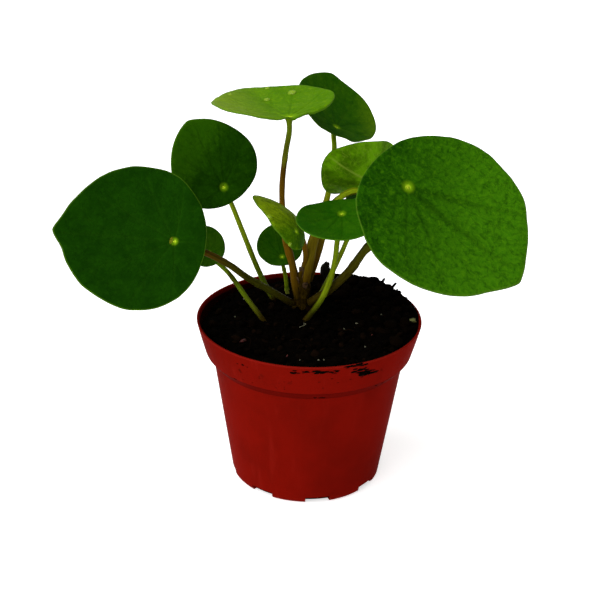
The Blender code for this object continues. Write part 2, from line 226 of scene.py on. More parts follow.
def tube(name, path, radii, material, around=20, relief=None):
    # a closed round bar along the path; relief(share, angle) is added to the radius
    sides, ups = pathFrames(path)
    angles = np.linspace(0.0, 2 * math.pi, around, endpoint=False)
    shares = np.linspace(0.0, 1.0, len(path))
    wide = np.repeat(radii[:, None], around, axis=1)
    if relief is not None:
        wide = wide + relief(shares[:, None], angles[None, :])
    out = sides[:, None, :] * np.cos(angles)[None, :, None]
    out = out + ups[:, None, :] * np.sin(angles)[None, :, None]
    rings = path[:, None, :] + out * wide[:, :, None]
    vertices = np.concatenate([rings.reshape(-1, 3), path[:1], path[-1:]])
    faces = ringFaces(len(path), around)
    low = len(path) * around
    last = low - around
    for j in range(around):
        k = (j + 1) % around
        faces.append((low, k, j))
        faces.append((low + 1, last + j, last + k))
    piece = meshPiece(name, vertices * mm, faces, material)
    run = np.concatenate([np.repeat(shares, around), [0.0, 1.0]])
    turn = np.concatenate([np.tile(angles, len(path)), [0.0, 0.0]])
    length = np.linalg.norm(np.diff(path, axis=0), axis=1).sum()
    addValues(piece, "run", run)
    # lengthwise streaks: the third value grows by one in every streakLength millimetres
    streakLength = 8.0
    skin = np.stack([np.cos(turn), np.sin(turn), run * length / streakLength], axis=1)
    addValues(piece, "skin", skin)
    return piece


def settle(piece, nodes=()):
    # every piece of the plant moves with the one body
    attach(piece, "root")
    if nodes:
        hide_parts(*nodes)


# the nursery pot, in millimetres and degrees
pot = {
    "height": 68.4, "rim": 45.0, "wall": 0.9, "floor": 1.0, "base": 30.4, "baseEdge": 0.9,
    "collar": ((43.5, 6.0), (41.5, 13.1), (38.3, 16.6)),    # outer radius, and drop below the rim
    "rounds": {1: 0.8, 2: 0.8, 3: 0.8, 5: 0.34, 6: 0.34, 8: 0.6, 9: 0.9},    # by corner of the profile
    "roundSteps": 4, "segments": 240, "footHigh": 6.0, "sharpFrom": 38,
    "notches": 8, "notchFirst": -80, "notchWide": 10.0, "notchHigh": 2.6, "notchIn": 25.0,
    "notchEase": 0.05, "dust": (48.0, 56.0, 62.0),    # heights where the dust starts, is full and thins
    "colour": (0.150, 0.0034, 0.0014), "pale": (0.21, 0.0085, 0.0050), "dark": (0.092, 0.0026, 0.0010),
    # one dark colour for the compost dust on the collar and for the painted shade inside the pot
    "dirtAndShade": (0.0040, 0.0012, 0.0006), "shade": (0.058, 0.0014, 0.0007),
}


def potSide(height):
    # outer radius of the pot at a height above its underside
    heights = [0.0, pot["baseEdge"]] + [pot["height"] - drop for _, drop in pot["collar"][::-1]]
    radii = [pot["base"] - pot["baseEdge"], pot["base"]] + [r for r, _ in pot["collar"][::-1]]
    return np.interp(height, heights + [pot["height"]], radii + [pot["rim"]])


def bend(before, corner, after, radius, steps):
    # a round corner between two straight runs of a profile
    corner = np.array(corner, float)
    toBefore = np.array(before, float) - corner
    toAfter = np.array(after, float) - corner
    toBefore /= np.linalg.norm(toBefore)
    toAfter /= np.linalg.norm(toAfter)
    first = corner + toBefore * radius
    last = corner + toAfter * radius
    points = []
    for i in range(steps + 1):
        t = i / steps
        points.append(tuple((1 - t) ** 2 * first + 2 * t * (1 - t) * corner + t ** 2 * last))
    return points


def potProfile():
    # (radius, height) from the middle of the inner floor, over the rim and down to the underside
    high, wall = pot["height"], pot["wall"]
    drops = [(radius, high - drop) for radius, drop in pot["collar"]]
    floorRadius = float(potSide(pot["floor"])) - wall
    inner = [(0.0, pot["floor"]), (floorRadius, pot["floor"])]
    inner += [(radius - wall, height) for radius, height in drops[::-1]]
    inner.append((pot["rim"] - wall, high))
    outer = [(pot["rim"], high), *drops]
    corners = inner + outer + [(pot["base"], pot["baseEdge"])]
    points = [corners[0]]
    for i in range(1, len(corners) - 1):
        if i in pot["rounds"]:
            points += bend(*corners[i - 1:i + 2], pot["rounds"][i], pot["roundSteps"])
        else:
            points.append(corners[i])
    last = np.array(points[-1])
    foot = np.array([float(potSide(pot["footHigh"])), pot["footHigh"]])
    points += [tuple(last + (foot - last) * share) for share in (0.25, 0.5, 0.75, 1.0)]
    overNotch = pot["notchHigh"] + 0.3
    points.append((float(potSide(overNotch)), overNotch))
    return points


def notchAngles():
    # every angle round the pot, with a close pair at each side of each notch
    fullTurn = 2 * math.pi
    half = pot["notchWide"] / 2 / pot["base"]
    first = math.radians(pot["notchFirst"])
    middles = [first + fullTurn * i / pot["notches"] for i in range(pot["notches"])]
    angles = [fullTurn / pot["segments"] * i for i in range(pot["segments"])]
    sliver, clear = 0.0015, 0.01
    for middle in middles:
        for edge in (middle - half, middle + half):
            angles = [a for a in angles if abs(math.remainder(a - edge, fullTurn)) > clear]
            angles += [(edge + side * sliver) % fullTurn for side in (-1, 1)]
    angles.sort()
    notched = [min(abs(math.remainder(a - middle, fullTurn)) for middle in middles) < half
               for a in angles]
    return angles, notched


def potShape():
    # the last four rings are the foot, which the notches cut into
    profile = potProfile()
    inner = [radius < float(potSide(height)) - 0.6 * pot["wall"] for radius, height in profile[1:]]
    top, ease = pot["notchHigh"], pot["notchEase"]
    foot = [(float(potSide(top)), top), (pot["base"], pot["baseEdge"]),
            (pot["base"] - pot["baseEdge"], 0.0), (pot["notchIn"], 0.0)]
    recessed = [foot[0], (foot[0][0] - ease, top), (pot["notchIn"] + ease, top), foot[3]]
    angles, notched = notchAngles()
    count = len(angles)
    vertices = []
    for radius, height in profile[1:]:
        vertices += [(radius * math.cos(a), radius * math.sin(a), height) for a in angles]
    for whole, cut in zip(foot, recessed):
        for a, inNotch in zip(angles, notched):
            radius, height = cut if inNotch else whole
            vertices.append((radius * math.cos(a), radius * math.sin(a), height))
    rings = len(profile) - 1 + len(foot)
    faces = ringFaces(rings, count)
    faces = [face[::-1] for face in faces]
    middle = len(vertices)
    vertices += [(0.0, 0.0, pot["floor"]), (0.0, 0.0, 0.0)]
    last = (rings - 1) * count
    for j in range(count):
        k = (j + 1) % count
        faces.append((middle, j, k))
        faces.append((middle + 1, last + k, last + j))
    inside = np.repeat(np.array(inner + [False] * len(foot), float), count)
    return np.array(vertices), faces, np.concatenate([inside, [1.0, 0.0]])


def potFinish():
    gloss = {"Specular IOR Level": 0.001, "Specular Tint": (1.0, 0.30, 0.22, 1.0)}
    finish = Finish("redBrownPlastic", gloss)
    place = finish.place()
    height = finish.node("ShaderNodeSeparateXYZ", {}, {"Vector": place}, output="Z") / mm
    cloud = finish.grain(place, 42.0, 4.0, 0.6)
    drag = finish.grain(finish.stretch(place, (260.0, 260.0, 14.0)), 1.0, 3.0, 0.55)
    fine = finish.grain(place, 1900.0, 2.0, 0.5)
    colour = finish.mix(finish.rise(cloud, 0.35, 0.70) * 0.55, pot["colour"], pot["dark"])
    colour = finish.mix(finish.rise(drag, 0.55, 0.78) * 0.30, colour, pot["pale"])
    # painted highlight: paler along the rim's top edge, and a paler sheen broken by streaks along the foot
    rimHighlight = finish.rise(height, pot["height"] - 0.9, pot["height"] - 0.1)
    footSheen = finish.rise(height, pot["notchHigh"], 0.6) * finish.rise(drag, 0.35, 0.6)
    colour = finish.mix(rimHighlight * 0.55 + footSheen * 0.35, colour, pot["pale"])

    def fineLine(middle):
        return finish.rise(height, middle - 0.6, middle) * finish.rise(height, middle + 0.6, middle)

    # the collar's step lies in its own shade, with a fine dark line at both edges
    stepHigh, stepLow = (pot["height"] - drop for _, drop in pot["collar"][1:])
    step = finish.rise(height, stepLow - 0.2, stepLow + 0.3)
    step = step * finish.rise(height, stepHigh + 0.3, stepHigh - 0.2)
    lines = fineLine(stepHigh) + fineLine(stepLow)
    colour = finish.mix(step * 0.65 + lines * 0.30, colour, pot["shade"])
    # compost dust rubbed on the collar
    dustLow, dustFull, dustThin = pot["dust"]
    collar = finish.rise(height, dustLow, dustFull) * finish.rise(height, pot["height"], dustThin)
    smear = finish.rise(finish.grain(place, 160.0, 5.0, 0.68), 0.60, 0.72) * collar
    colour = finish.mix(smear * 0.55, colour, pot["dirtAndShade"])
    # painted shade: the inside wall below the rim is darkened nearly to black
    insideShade = finish.attribute("inside") * finish.rise(height + cloud * 2.0, pot["height"], pot["height"] - 1)
    colour = finish.mix(insideShade * 0.93, colour, pot["dirtAndShade"])
    roughness = 0.40 + cloud * 0.12 + smear * 0.3
    return finish.use(colour, roughness, drag * 0.6 + fine * 0.4, 0.35, 0.12)


def makePot():
    vertices, faces, inside = potShape()
    shell = meshPiece("potShell", vertices * mm, faces, potFinish())
    addValues(shell, "inside", inside)
    shell.data.set_sharp_from_angle(angle=math.radians(pot["sharpFrom"]))
    settle(shell, ["pot"])


makePot()
print("pot made")


# the compost, heaped to the back right; a mound is its place, its height and its width
soil = {
    "level": 65.8, "heap": 5.2, "heapAngle": 42, "hollow": 1.6,
    "edgeDip": 1.4, "edgeStart": 0.9, "edgeWide": 0.22, "shoulder": 1.0,
    "lump": (6.0, 0.9), "crumb": (2.2, 0.55), "grit": (0.8, 0.22),    # width and height of each noise
    "lumpShape": (0.8, 2.1, 3), "segments": 260, "rings": 84, "gap": 0.08, "reach": 41.0,
    "skirt": (4.0, 9.0), "tint": (1.7, 0.25),
    "mounds": [(-17.5, -1.0, 1.3, 5.0), (-9.3, 22.6, 1.5, 5.0), (-4.0, 10.0, 0.8, 6.0)],
    "dark": (0.0006, 0.0003, 0.0001), "brown": (0.0024, 0.0014, 0.0008), "warm": (0.009, 0.0040, 0.0018),
}


def soilTop(x, y):
    # height of the compost surface, in millimetres
    neck = pot["collar"][-1][0]
    turn = math.radians(soil["heapAngle"])
    across = (x * math.cos(turn) + y * math.sin(turn)) / neck
    heap = soil["heap"] * across ** 3 if across > 0 else soil["hollow"] * across
    wide, high = soil["lump"]
    lumps = high * noise.fractal(Vector((x, y, 0.0)) / wide, *soil["lumpShape"])
    beyond = max(math.hypot(x, y) / neck - soil["edgeStart"], 0.0)
    edge = soil["edgeDip"] * beyond / soil["edgeWide"]
    height = soil["level"] + heap + lumps - edge
    for moundX, moundY, rise, width in soil["mounds"]:
        height += rise * math.exp(-((x - moundX) ** 2 + (y - moundY) ** 2) / width ** 2)
    inward = pot["rim"] - pot["wall"] - math.hypot(x, y)
    return min(height, pot["height"] + soil["shoulder"] * inward)


def soilSkin(x, y):
    # the same surface with its crumbs and grit; the third values only tell the noises apart
    crumbWide, crumbHigh = soil["crumb"]
    gritWide, gritHigh = soil["grit"]
    crumb = 1 - 2 * abs(noise.noise(Vector((x, y, 3.1)) / crumbWide))
    crumb += 0.5 * noise.noise(Vector((x, y, 8.4)) / crumbWide * 2.3)
    grit = noise.noise(Vector((x, y, 5.7)) / gritWide)
    return soilTop(x, y) + crumbHigh * crumb + gritHigh * grit


def soilFinish():
    finish = Finish("darkCompost", {"Specular IOR Level": 0.01})
    place = finish.place()
    patch = finish.grain(place, 260.0, 5.0, 0.65)
    speck = finish.grain(place, 1500.0, 3.0, 0.6)
    tint = finish.attribute("tint")
    colour = finish.mix(finish.rise(patch, 0.42, 0.75), soil["dark"], soil["brown"])
    colour = finish.mix(finish.rise(speck, 0.62, 0.80) * 0.5, colour, soil["warm"])
    colour = finish.mix(tint * 0.7, colour, soil["warm"])
    return finish.use(colour, 0.85 + patch * 0.12, speck * 0.5 + patch * 0.5, 0.8, 0.5)


def soilPoint(x, y, share, outermost):
    # a point at this share of the way from the middle to the wall, in the direction (x, y)
    clear = pot["wall"] + soil["gap"]
    reach = soil["reach"] * share
    reach = (float(potSide(soilSkin(reach * x, reach * y))) - clear) * share
    height = soilSkin(reach * x, reach * y)
    if outermost:
        reach = min(float(potSide(height)), pot["rim"]) - clear
    return (reach * x, reach * y, height)


def makeSoil(material):
    count, rings = soil["segments"], soil["rings"]
    shares = [math.sin(0.5 * math.pi * (i + 1) / rings) ** 0.9 for i in range(rings)]
    turns = [2 * math.pi * j / count for j in range(count)]
    ways = [(math.cos(turn), math.sin(turn)) for turn in turns]
    vertices = []
    for share in shares:
        vertices += [soilPoint(x, y, share, share == shares[-1]) for x, y in ways]
    for depth in soil["skirt"]:
        height = soil["level"] - depth
        wall = float(potSide(height)) - pot["wall"] - soil["gap"]
        vertices += [(wall * x, wall * y, height) for x, y in ways]
    faces = ringFaces(rings + len(soil["skirt"]), count)
    faces = [face[::-1] for face in faces]
    vertices += [(0.0, 0.0, soilSkin(0, 0)), (0.0, 0.0, height)]
    last = (rings + len(soil["skirt"]) - 1) * count
    for j in range(count):
        k = (j + 1) % count
        faces.append((len(vertices) - 2, j, k))
        faces.append((len(vertices) - 1, last + k, last + j))
    bed = meshPiece("compostTop", np.array(vertices) * mm, faces, material)
    patchSize, patchTint = soil["tint"]
    tints = [patchTint * max(noise.noise(Vector(v) / patchSize), 0.0) for v in vertices]
    addValues(bed, "tint", tints)
    settle(bed, ["soil"])


# loose crumbs over the whole surface, then bigger clods on the heap; clear and sit are in crumb sizes
crumbs = {
    "seed": 7, "count": 900, "small": 0.45, "large": 1.9, "reach": 42.0, "clear": 1.3, "sit": 0.35,
    "heapCount": 260, "heapSmall": 0.9, "heapLarge": 3.0, "heapTurn": 48, "heapSpread": 34,
    "heapReach": (26.0, 41.0), "heapClear": 1.25, "heapSit": 0.3,
    "fineFrom": 1.2, "knobs": ((1.6, 0.55), (4, 0.22)),    # how close and how high the knobs are
}


def lumpShape(rng, size, flatness=0.7):
    # one knobbly crumb: its points and faces about its own middle
    bm = bmesh.new()
    bmesh.ops.create_icosphere(bm, subdivisions=2 if size > crumbs["fineFrom"] else 1, radius=1.0)
    seed = Vector((rng.uniform(0, 90), rng.uniform(0, 90), rng.uniform(0, 90)))
    long, broad, deep = rng.uniform(0.7, 1.3), rng.uniform(0.6, 1.1), rng.uniform(0.5, 1.0)
    axes = (long, broad, deep * flatness * 1.3)
    turn = Matrix.Rotation(rng.uniform(0, 6.28), 3, "Z")
    turn @= Matrix.Rotation(rng.uniform(-0.8, 0.8), 3, "X")
    points = []
    for vertex in bm.verts:
        knobs = sum(high * noise.noise(vertex.co * close + seed) for close, high in crumbs["knobs"])
        p = Vector([a * b for a, b in zip(vertex.co * (1 + knobs), axes)]) * size
        points.append(tuple(turn @ p))
    faces = [tuple(v.index for v in face.verts) for face in bm.faces]
    bm.free()
    return points, faces


def gather(name, lumps, material):
    # many small loose shapes as one piece; each is (points, faces, place, tint)
    vertices, faces, tints = [], [], []
    for points, shapeFaces, place, tint in lumps:
        start = len(vertices)
        vertices += [tuple(a + b for a, b in zip(p, place)) for p in points]
        faces += [tuple(start + i for i in face) for face in shapeFaces]
        tints += [tint] * len(points)
    piece = meshPiece(name, np.array(vertices) * mm, faces, material)
    addValues(piece, "tint", tints)
    return piece


def onSoil(x, y, lift=0.0):
    return (x, y, soilTop(x, y) + lift)


def insidePot(x, y, margin):
    return math.hypot(x, y) < float(potSide(soilTop(x, y))) - pot["wall"] - margin


def makeCrumbs(material):
    rng = random.Random(crumbs["seed"])
    lumps = []
    while len(lumps) < crumbs["count"]:
        angle = rng.uniform(0, 2 * math.pi)
        reach = crumbs["reach"] * math.sqrt(rng.random())
        x, y = reach * math.cos(angle), reach * math.sin(angle)
        size = crumbs["small"] + (crumbs["large"] - crumbs["small"]) * rng.random() ** 3
        if not insidePot(x, y, size * crumbs["clear"]):
            continue
        points, faces = lumpShape(rng, size)
        tint = rng.random() ** 4
        lumps.append((points, faces, onSoil(x, y, crumbs["sit"] * size), tint))
    while len(lumps) < crumbs["count"] + crumbs["heapCount"]:
        angle = math.radians(rng.gauss(crumbs["heapTurn"], crumbs["heapSpread"]))
        reach = rng.uniform(*crumbs["heapReach"])
        x, y = reach * math.cos(angle), reach * math.sin(angle)
        size = rng.uniform(crumbs["heapSmall"], crumbs["heapLarge"]) * rng.uniform(0.5, 1.0)
        if not insidePot(x, y, size * crumbs["heapClear"]):
            continue
        points, faces = lumpShape(rng, size)
        place = onSoil(x, y, crumbs["heapSit"] * size)
        lumps.append((points, faces, place, 0.5 * rng.random() ** 3))
    settle(gather("compostCrumbs", lumps, material))


fibres = {
    "seed": 21, "count": 60, "short": 4.0, "long": 13.0, "thin": 0.13, "thick": 0.34, "reach": 38.0,
    # a few stand up out of the heap: x, y, bearing and length
    "spikes": [(34, 24, 20, 2.8), (35.5, 20, 60, 2.0), (30, 29, 40, 2.4)], "spikeThick": 0.62,
}


def threadShape(line, radius, sides):
    # a thin bar along the line, narrower at both ends
    path = np.array(line)
    side, up = pathFrames(path)
    steps = len(path)
    points = []
    for i in range(steps):
        wide = radius * math.sin(math.pi * (i + 0.6) / (steps + 0.2)) ** 0.5
        for j in range(sides):
            turn = 2 * math.pi * j / sides
            out = side[i] * math.cos(turn) + up[i] * math.sin(turn)
            points.append(tuple(path[i] + out * wide))
    faces = ringFaces(steps, sides)
    faces.append(tuple(range(sides))[::-1])
    faces.append(tuple(range((steps - 1) * sides, steps * sides)))
    return points, faces


def makeFibres(material):
    # root threads and bark slivers that lie on the compost
    rng = random.Random(fibres["seed"])
    lumps = []
    sides = 5
    for x, y, degrees, length in fibres["spikes"]:
        turn = math.radians(degrees)
        line = []
        for i in range(5):
            t = i / 4
            out = length * (0.5 * t + 0.2 * t * t)
            height = soilTop(x, y) + length * 0.8 * t
            line.append((x + out * math.cos(turn), y + out * math.sin(turn), height))
        lumps.append(threadShape(line, fibres["spikeThick"], sides) + ((0.0, 0.0, 0.0), 0.0))
    while len(lumps) < fibres["count"]:
        angle = rng.uniform(0, 2 * math.pi)
        reach = fibres["reach"] * math.sqrt(rng.random())
        x, y = reach * math.cos(angle), reach * math.sin(angle)
        heading = rng.uniform(0, 2 * math.pi)
        length = rng.uniform(fibres["short"], fibres["long"])
        radius = rng.uniform(fibres["thin"], fibres["thick"])
        curl = rng.uniform(-0.9, 0.9)
        line = []
        steps = 9
        for i in range(steps):
            lift = 0.5 + 0.7 * math.sin(math.pi * i / (steps - 1))
            line.append((x, y, soilTop(x, y) + lift))
            heading += curl / steps + rng.uniform(-0.25, 0.25)
            x += math.cos(heading) * length / steps
            y += math.sin(heading) * length / steps
        if not insidePot(line[-1][0], line[-1][1], 1.0):
            continue
        lumps.append(threadShape(line, radius, sides) + ((0.0, 0.0, 0.0), rng.random() ** 2))
    settle(gather("rootFibres", lumps, material))


# small bright bits in the compost: place, size, and which finish they have
grit = {
    "seed": 5,
    "pale": [(-27, 20.5, 0.6), (-30, 4, 0.45), (14, -7, 0.5), (19, -3, 0.55), (22, -22, 0.5),
             (33, 17, 0.5), (4, -33, 0.6), (6, -33.5, 0.4), (-3, -33.5, 0.4), (29, 4, 0.4)],
    "rust": [(-25.5, -17, 1.3), (34, 25, 1.1), (-8, -30, 0.5), (25, -12, 0.5), (-20, 8, 0.5)],
    "pebble": [(41.2, -0.8, 1.5), (39.4, 0.6, 0.8)],
    "curl": [(-2.2, -1.6), (-1.4, -3.2), (-1.6, -4.6), (-2.6, -6.0), (-3.8, -6.6)],
    "paleColour": (0.17, 0.16, 0.10), "rustColour": (0.085, 0.010, 0.008),
    "pebbleColour": (0.20, 0.20, 0.055),
}


def gritFinish(name, colour):
    finish = Finish(name, {"Specular IOR Level": 0.3})
    place = finish.place()
    cloud = finish.grain(place, 900.0, 3.0, 0.6)
    dark = toned(colour, 0.35)
    shade = finish.mix(finish.rise(cloud, 0.35, 0.65), dark, colour)
    return finish.use(shade, 0.6 + cloud * 0.2, cloud, 0.5, 0.2)


def makeGrit():
    rng = random.Random(grit["seed"])
    for kind in ("pale", "rust", "pebble"):
        lumps = []
        for x, y, size in grit[kind]:
            points, faces = lumpShape(rng, size, 0.6)
            lumps.append((points, faces, onSoil(x, y, 0.8), 0.0))
        material = gritFinish(kind + "Grit", grit[kind + "Colour"])
        settle(gather(kind + "Grit", lumps, material))
    line = [onSoil(x, y, 1.1) for x, y in grit["curl"]]
    path = smoothPath(line, 24)
    radii = 0.24 * np.sin(np.linspace(0.3, math.pi - 0.3, 24)) ** 0.5
    curl = tube("huskCurl", path, radii, gritFinish("huskShell", grit["paleColour"]), around=8)
    settle(curl)


# a rough chip of bark; lumps, layers and flakes each have a height and how many go across
bark = {
    "place": (6.5, 36.0, 73.6), "size": (4.2, 3.2, 6.4), "turn": (-12, 9, 25),
    "lumps": (0.35, 3.1), "layers": (0.13, 9.0), "flakes": (0.05, 22.0), "layerLong": 2.5,
    "colour": (0.0042, 0.0022, 0.0014), "grain": (0.016, 0.0085, 0.0045),
}


def barkFinish():
    finish = Finish("flakedBark", {"Specular IOR Level": 0.15})
    place = finish.place()
    layers = finish.grain(finish.stretch(place, (900.0, 900.0, 260.0)), 1.0, 4.0, 0.6)
    colour = finish.mix(finish.rise(layers, 0.45, 0.72), bark["colour"], bark["grain"])
    return finish.use(colour, 0.9, layers, 0.8, 0.5)


def makeBark():
    # a split chip of bark, layered along its length
    bm = bmesh.new()
    bmesh.ops.create_icosphere(bm, subdivisions=4, radius=0.5)
    lumpHigh, lumpCount = bark["lumps"]
    layerHigh, layerCount = bark["layers"]
    flakeHigh, flakeCount = bark["flakes"]
    points = []
    for vertex in bm.verts:
        p = vertex.co * (1 + lumpHigh * noise.noise(vertex.co * lumpCount))
        layer = noise.noise(Vector((p.x * layerCount, p.y * layerCount, p.z * bark["layerLong"])))
        p = p * (1 + layerHigh * layer + flakeHigh * noise.noise(p * flakeCount))
        points.append([a * b for a, b in zip(p, bark["size"])])
    faces = [tuple(v.index for v in face.verts) for face in bm.faces]
    bm.free()
    chip = meshPiece("barkFlake", np.array(points) * mm, faces, barkFinish())
    chip.location = Vector(bark["place"]) * mm
    chip.rotation_euler = [math.radians(a) for a in bark["turn"]]
    settle(chip, ["bark_chip"])


def makeCompost():
    material = soilFinish()
    makeSoil(material)
    makeCrumbs(material)
    makeFibres(material)
    makeGrit()
    makeBark()


makeCompost()
print("compost made")


# Every leaf lies on a frame: its stalk joint, its lean from level, the compass direction it leans
# to and the turn of its tip. Half length, half width, offset, cup and fold are in millimetres.
# The tones are named below. Veins are turns from the tip, in degrees, each with its strength, and
# bumps reshape the margin by a turn, a width and an amount. A fade runs towards a turn from the tip.
# The rest are factors: rag of the margin, glow at the joint, crinkle and mottle of the skin.
leaves = {
    "left": dict(at=(-51.4, -20, 107.6), lean=56, facing=-100, turn=-89, half=(28, 28), offset=14,
                 cup=2.0, fold=-1.0, tip=0.12, skew=-0.01, wave=0.01, tone="night",
                 bumps=((180, 50, -0.05), (75, 35, -0.02), (0, 6, 0.03), (14, 7, -0.018),
                        (-14, 7, -0.012)), rag=1.6, veinTone=0.18, glow=0.85),
    "upper_left": dict(at=(-34.6, 10, 118.7), lean=68, facing=-68, turn=-156, half=(17.3, 17.5),
                       offset=10, cup=0.8, fold=2.8, tip=0.10, skew=0.01, wave=0.03, tone="forest",
                       fade=(25, "moss"), fadeFrom=0.75),
    "top": dict(at=(-9.5, 4, 150.2), lean=7, facing=112, turn=2, half=(24.3, 25.2), offset=16.2,
                cup=1.3, fold=3.2, tip=0.19, skew=-0.075, wave=0.02, tone="lime",
                bumps=((-172, 36, -0.12),), fade=(80, "limePale"), veinTone=-0.12, crinkle=0.45,
                glow=1.7),
    "top_back": dict(at=(9.5, 45, 133.8), lean=27, facing=-19, turn=126, half=(18.5, 18.5),
                     offset=7.7, cup=4.4, fold=-0.6, tip=0.06, skew=0.01, wave=0.01, tone="moss",
                     fade=(-93, "mossPale"), fadeFrom=0.6),
    "folded": dict(at=(22.7, 18, 121.1), lean=50, facing=138, turn=116, half=(16.1, 15.9), offset=6,
                   cup=6.0, fold=-1.2, tip=0.03, skew=-0.01, wave=0.035, tone="spring",
                   forkStrength=0.3, mottle=1.0,
                   veins=((-6, 1.2), (-58, 0.4), (48, 0.4), (110, 0.3), (-120, 0.3))),
    "young": dict(at=(-5.5, -4, 106.5), lean=58, facing=-26, turn=163, half=(13.4, 9.2), offset=6.3,
                  cup=-6.0, fold=0.0, tip=0.02, skew=-0.005, wave=0.0, tone="bud",
                  crinkle=0.8, fade=(0, "budTip")),
    "centre": dict(at=(11.5, -2, 113.6), lean=21, facing=-108, turn=20, half=(16.6, 17.4), offset=8.6,
                   cup=4.0, fold=1.3, tip=0.03, skew=-0.01, wave=0.03, tone="leaf"),
    "right": dict(at=(34.4, -32, 135.8), lean=46, facing=-70, turn=35, half=(31.8, 31.6), offset=16,
                  cup=2.0, fold=1.7, tip=0.13, skew=0.0, wave=0.01, tone="broad", crinkle=1.0,
                  veins=((3, 1.3), (44, 1.3), (-42, 0.7), (-80, 0.6), (100, 0.4), (178, 0.4), (-130, 0.4)),
                  veinWide=2.2, veinFade=0.75, forkStrength=0.3, veinTone=-0.9,
                  fade=(28, "broadPale"), fadeFrom=-0.5, rag=1.8, glow=1.25),
    "small_left": dict(at=(-40.6, 8, 91.6), lean=52, facing=-69, turn=-154, half=(8.5, 8.5),
                       offset=3.1, cup=0.3, fold=0.8, tip=0.05, skew=0, wave=-0.005, tone="jade"),
    "small_back": dict(at=(-11.7, 20, 85.7), lean=31, facing=-86, turn=-169, half=(9.4, 9.4),
                       offset=4.8, cup=1.5, fold=-0.9, tip=0.04, skew=0, wave=0.005, tone="moss"),
    "far_right": dict(at=(39, 38, 114), lean=35, facing=-15, turn=0, half=(16, 16), offset=6.5,
                      cup=1.5, fold=0.8, tip=0.06, skew=0.01, wave=0.01, tone="leaf"),
    "low_right": dict(at=(26, 24, 105.4), lean=7, facing=-17, turn=60, half=(17.6, 17.6), offset=6.9,
                      cup=1.1, fold=-0.2, tip=0.05, skew=0, wave=0.005, tone="forest"),
}

# base colour and lighter mottling of each tone, in linear light
tones = {
    "night": ((0.0034, 0.0260, 0.0002), (0.0062, 0.0400, 0.0005)),
    "forest": ((0.0058, 0.0330, 0.0002), (0.0130, 0.0620, 0.0008)),
    "moss": ((0.0110, 0.0620, 0.0006), (0.0280, 0.0950, 0.0010)),
    "mossPale": ((0.0420, 0.1050, 0.0010), (0.0700, 0.1500, 0.0030)),
    "leaf": ((0.0130, 0.0820, 0.0006), (0.0260, 0.1050, 0.0016)),
    "broad": ((0.0048, 0.0400, 0.0004), (0.0220, 0.1050, 0.0010)),
    "broadPale": ((0.0170, 0.1050, 0.0010), (0.0560, 0.1750, 0.0024)),
    "jade": ((0.0170, 0.0720, 0.0012), (0.0340, 0.1000, 0.0030)),
    # lime, spring and bud are partly the young blades' own lighter green and partly painted light shining
    # through the thin blades
    "lime": ((0.0700, 0.1950, 0.0004), (0.1050, 0.2400, 0.0030)),
    "limePale": ((0.1500, 0.2700, 0.0100), (0.1900, 0.3000, 0.0200)),
    "spring": ((0.0520, 0.1700, 0.0004), (0.0900, 0.2100, 0.0010)),
    "bud": ((0.0260, 0.0820, 0.0004), (0.0620, 0.1550, 0.0010)),
    "budTip": ((0.1500, 0.2300, 0.0010), (0.2000, 0.2800, 0.0060)),
}

blade = {
    "fullSize": 20.0,    # half length from which veins and dimple have their full size
    "largeFrom": 22, "largeGrid": (62, 224), "smallGrid": (40, 144),    # rings, and points in each
    "ragged": ((7, 0.3), (11, 1.9), (17, 4.1), (26, 2.6), (38, 0.8)), "ragDepth": 0.06,
    "tipAngle": 0.30, "tipSharpness": 1.3, "thick": 0.6, "foldSoft": 1.6,
    "vein": 0.62, "veinTaper": 0.6, "veinDepth": 0.20, "ridge": 0.26, "reach": 0.93, "bend": 7.0,
    "forks": (0.30, 0.55), "forkSpread": 15.0, "dimple": (0.55, 2.3),
    "ripple": 0.28, "quilt": 0.13, "quiltSize": 5.5,
    "veins": (0, 40, 82, 128, 180, -128, -82, -40),
    "glow": (0.180, 0.360, 0.004), "glowHeart": (0.56, 0.72, 0.030), "glowSize": 1.4,
    "marginHighlight": (0.065, 0.150, 0.008), "veinPale": (0.030, 0.100, 0.003),
    "underColour": (0.088, 0.225, 0.0012), "underVein": (0.24, 0.36, 0.03),
}


def bladeMatrix(leaf):
    matrix = Matrix.Translation(Vector(leaf["at"]))
    matrix @= Matrix.Rotation(math.radians(leaf["facing"]), 4, "Z")
    matrix @= Matrix.Rotation(math.radians(leaf["lean"]), 4, "Y")
    matrix @= Matrix.Rotation(math.radians(leaf["turn"]), 4, "Z")
    return matrix


def margin(leaf, angles):
    # the outline of the blade in its own plane, with the stalk joint at (0, 0)
    halfLength, halfWidth = leaf["half"]
    turn = np.angle(np.exp(1j * angles))
    outline = leaf["tip"] * np.exp(-np.abs(turn / blade["tipAngle"]) ** blade["tipSharpness"])
    outline = outline + leaf["skew"] * np.sin(2 * turn) + leaf["wave"] * np.cos(3 * turn)
    for middle, width, amount in leaf.get("bumps", ()):
        gap = np.angle(np.exp(1j * (angles - math.radians(middle))))
        outline = outline + amount * np.exp(-(gap / math.radians(width)) ** 2)
    rag = blade["ragDepth"] * leaf.get("rag", 0.6)
    for waves, phase in blade["ragged"]:
        outline = outline + rag / waves ** 1.5 * np.sin(waves * turn + phase + halfLength)
    along = leaf["offset"] + halfLength * np.cos(turn) * (1 + outline)
    return np.stack([along, halfWidth * np.sin(turn) * (1 + outline)], axis=-1)


def bladeRise(leaf, along, across):
    halfLength, halfWidth = leaf["half"]
    rise = leaf["cup"] * (along ** 2 + across ** 2) / halfLength ** 2
    soft = np.sqrt(across ** 2 + blade["foldSoft"] ** 2) - blade["foldSoft"]
    return rise + leaf["fold"] * soft / halfWidth


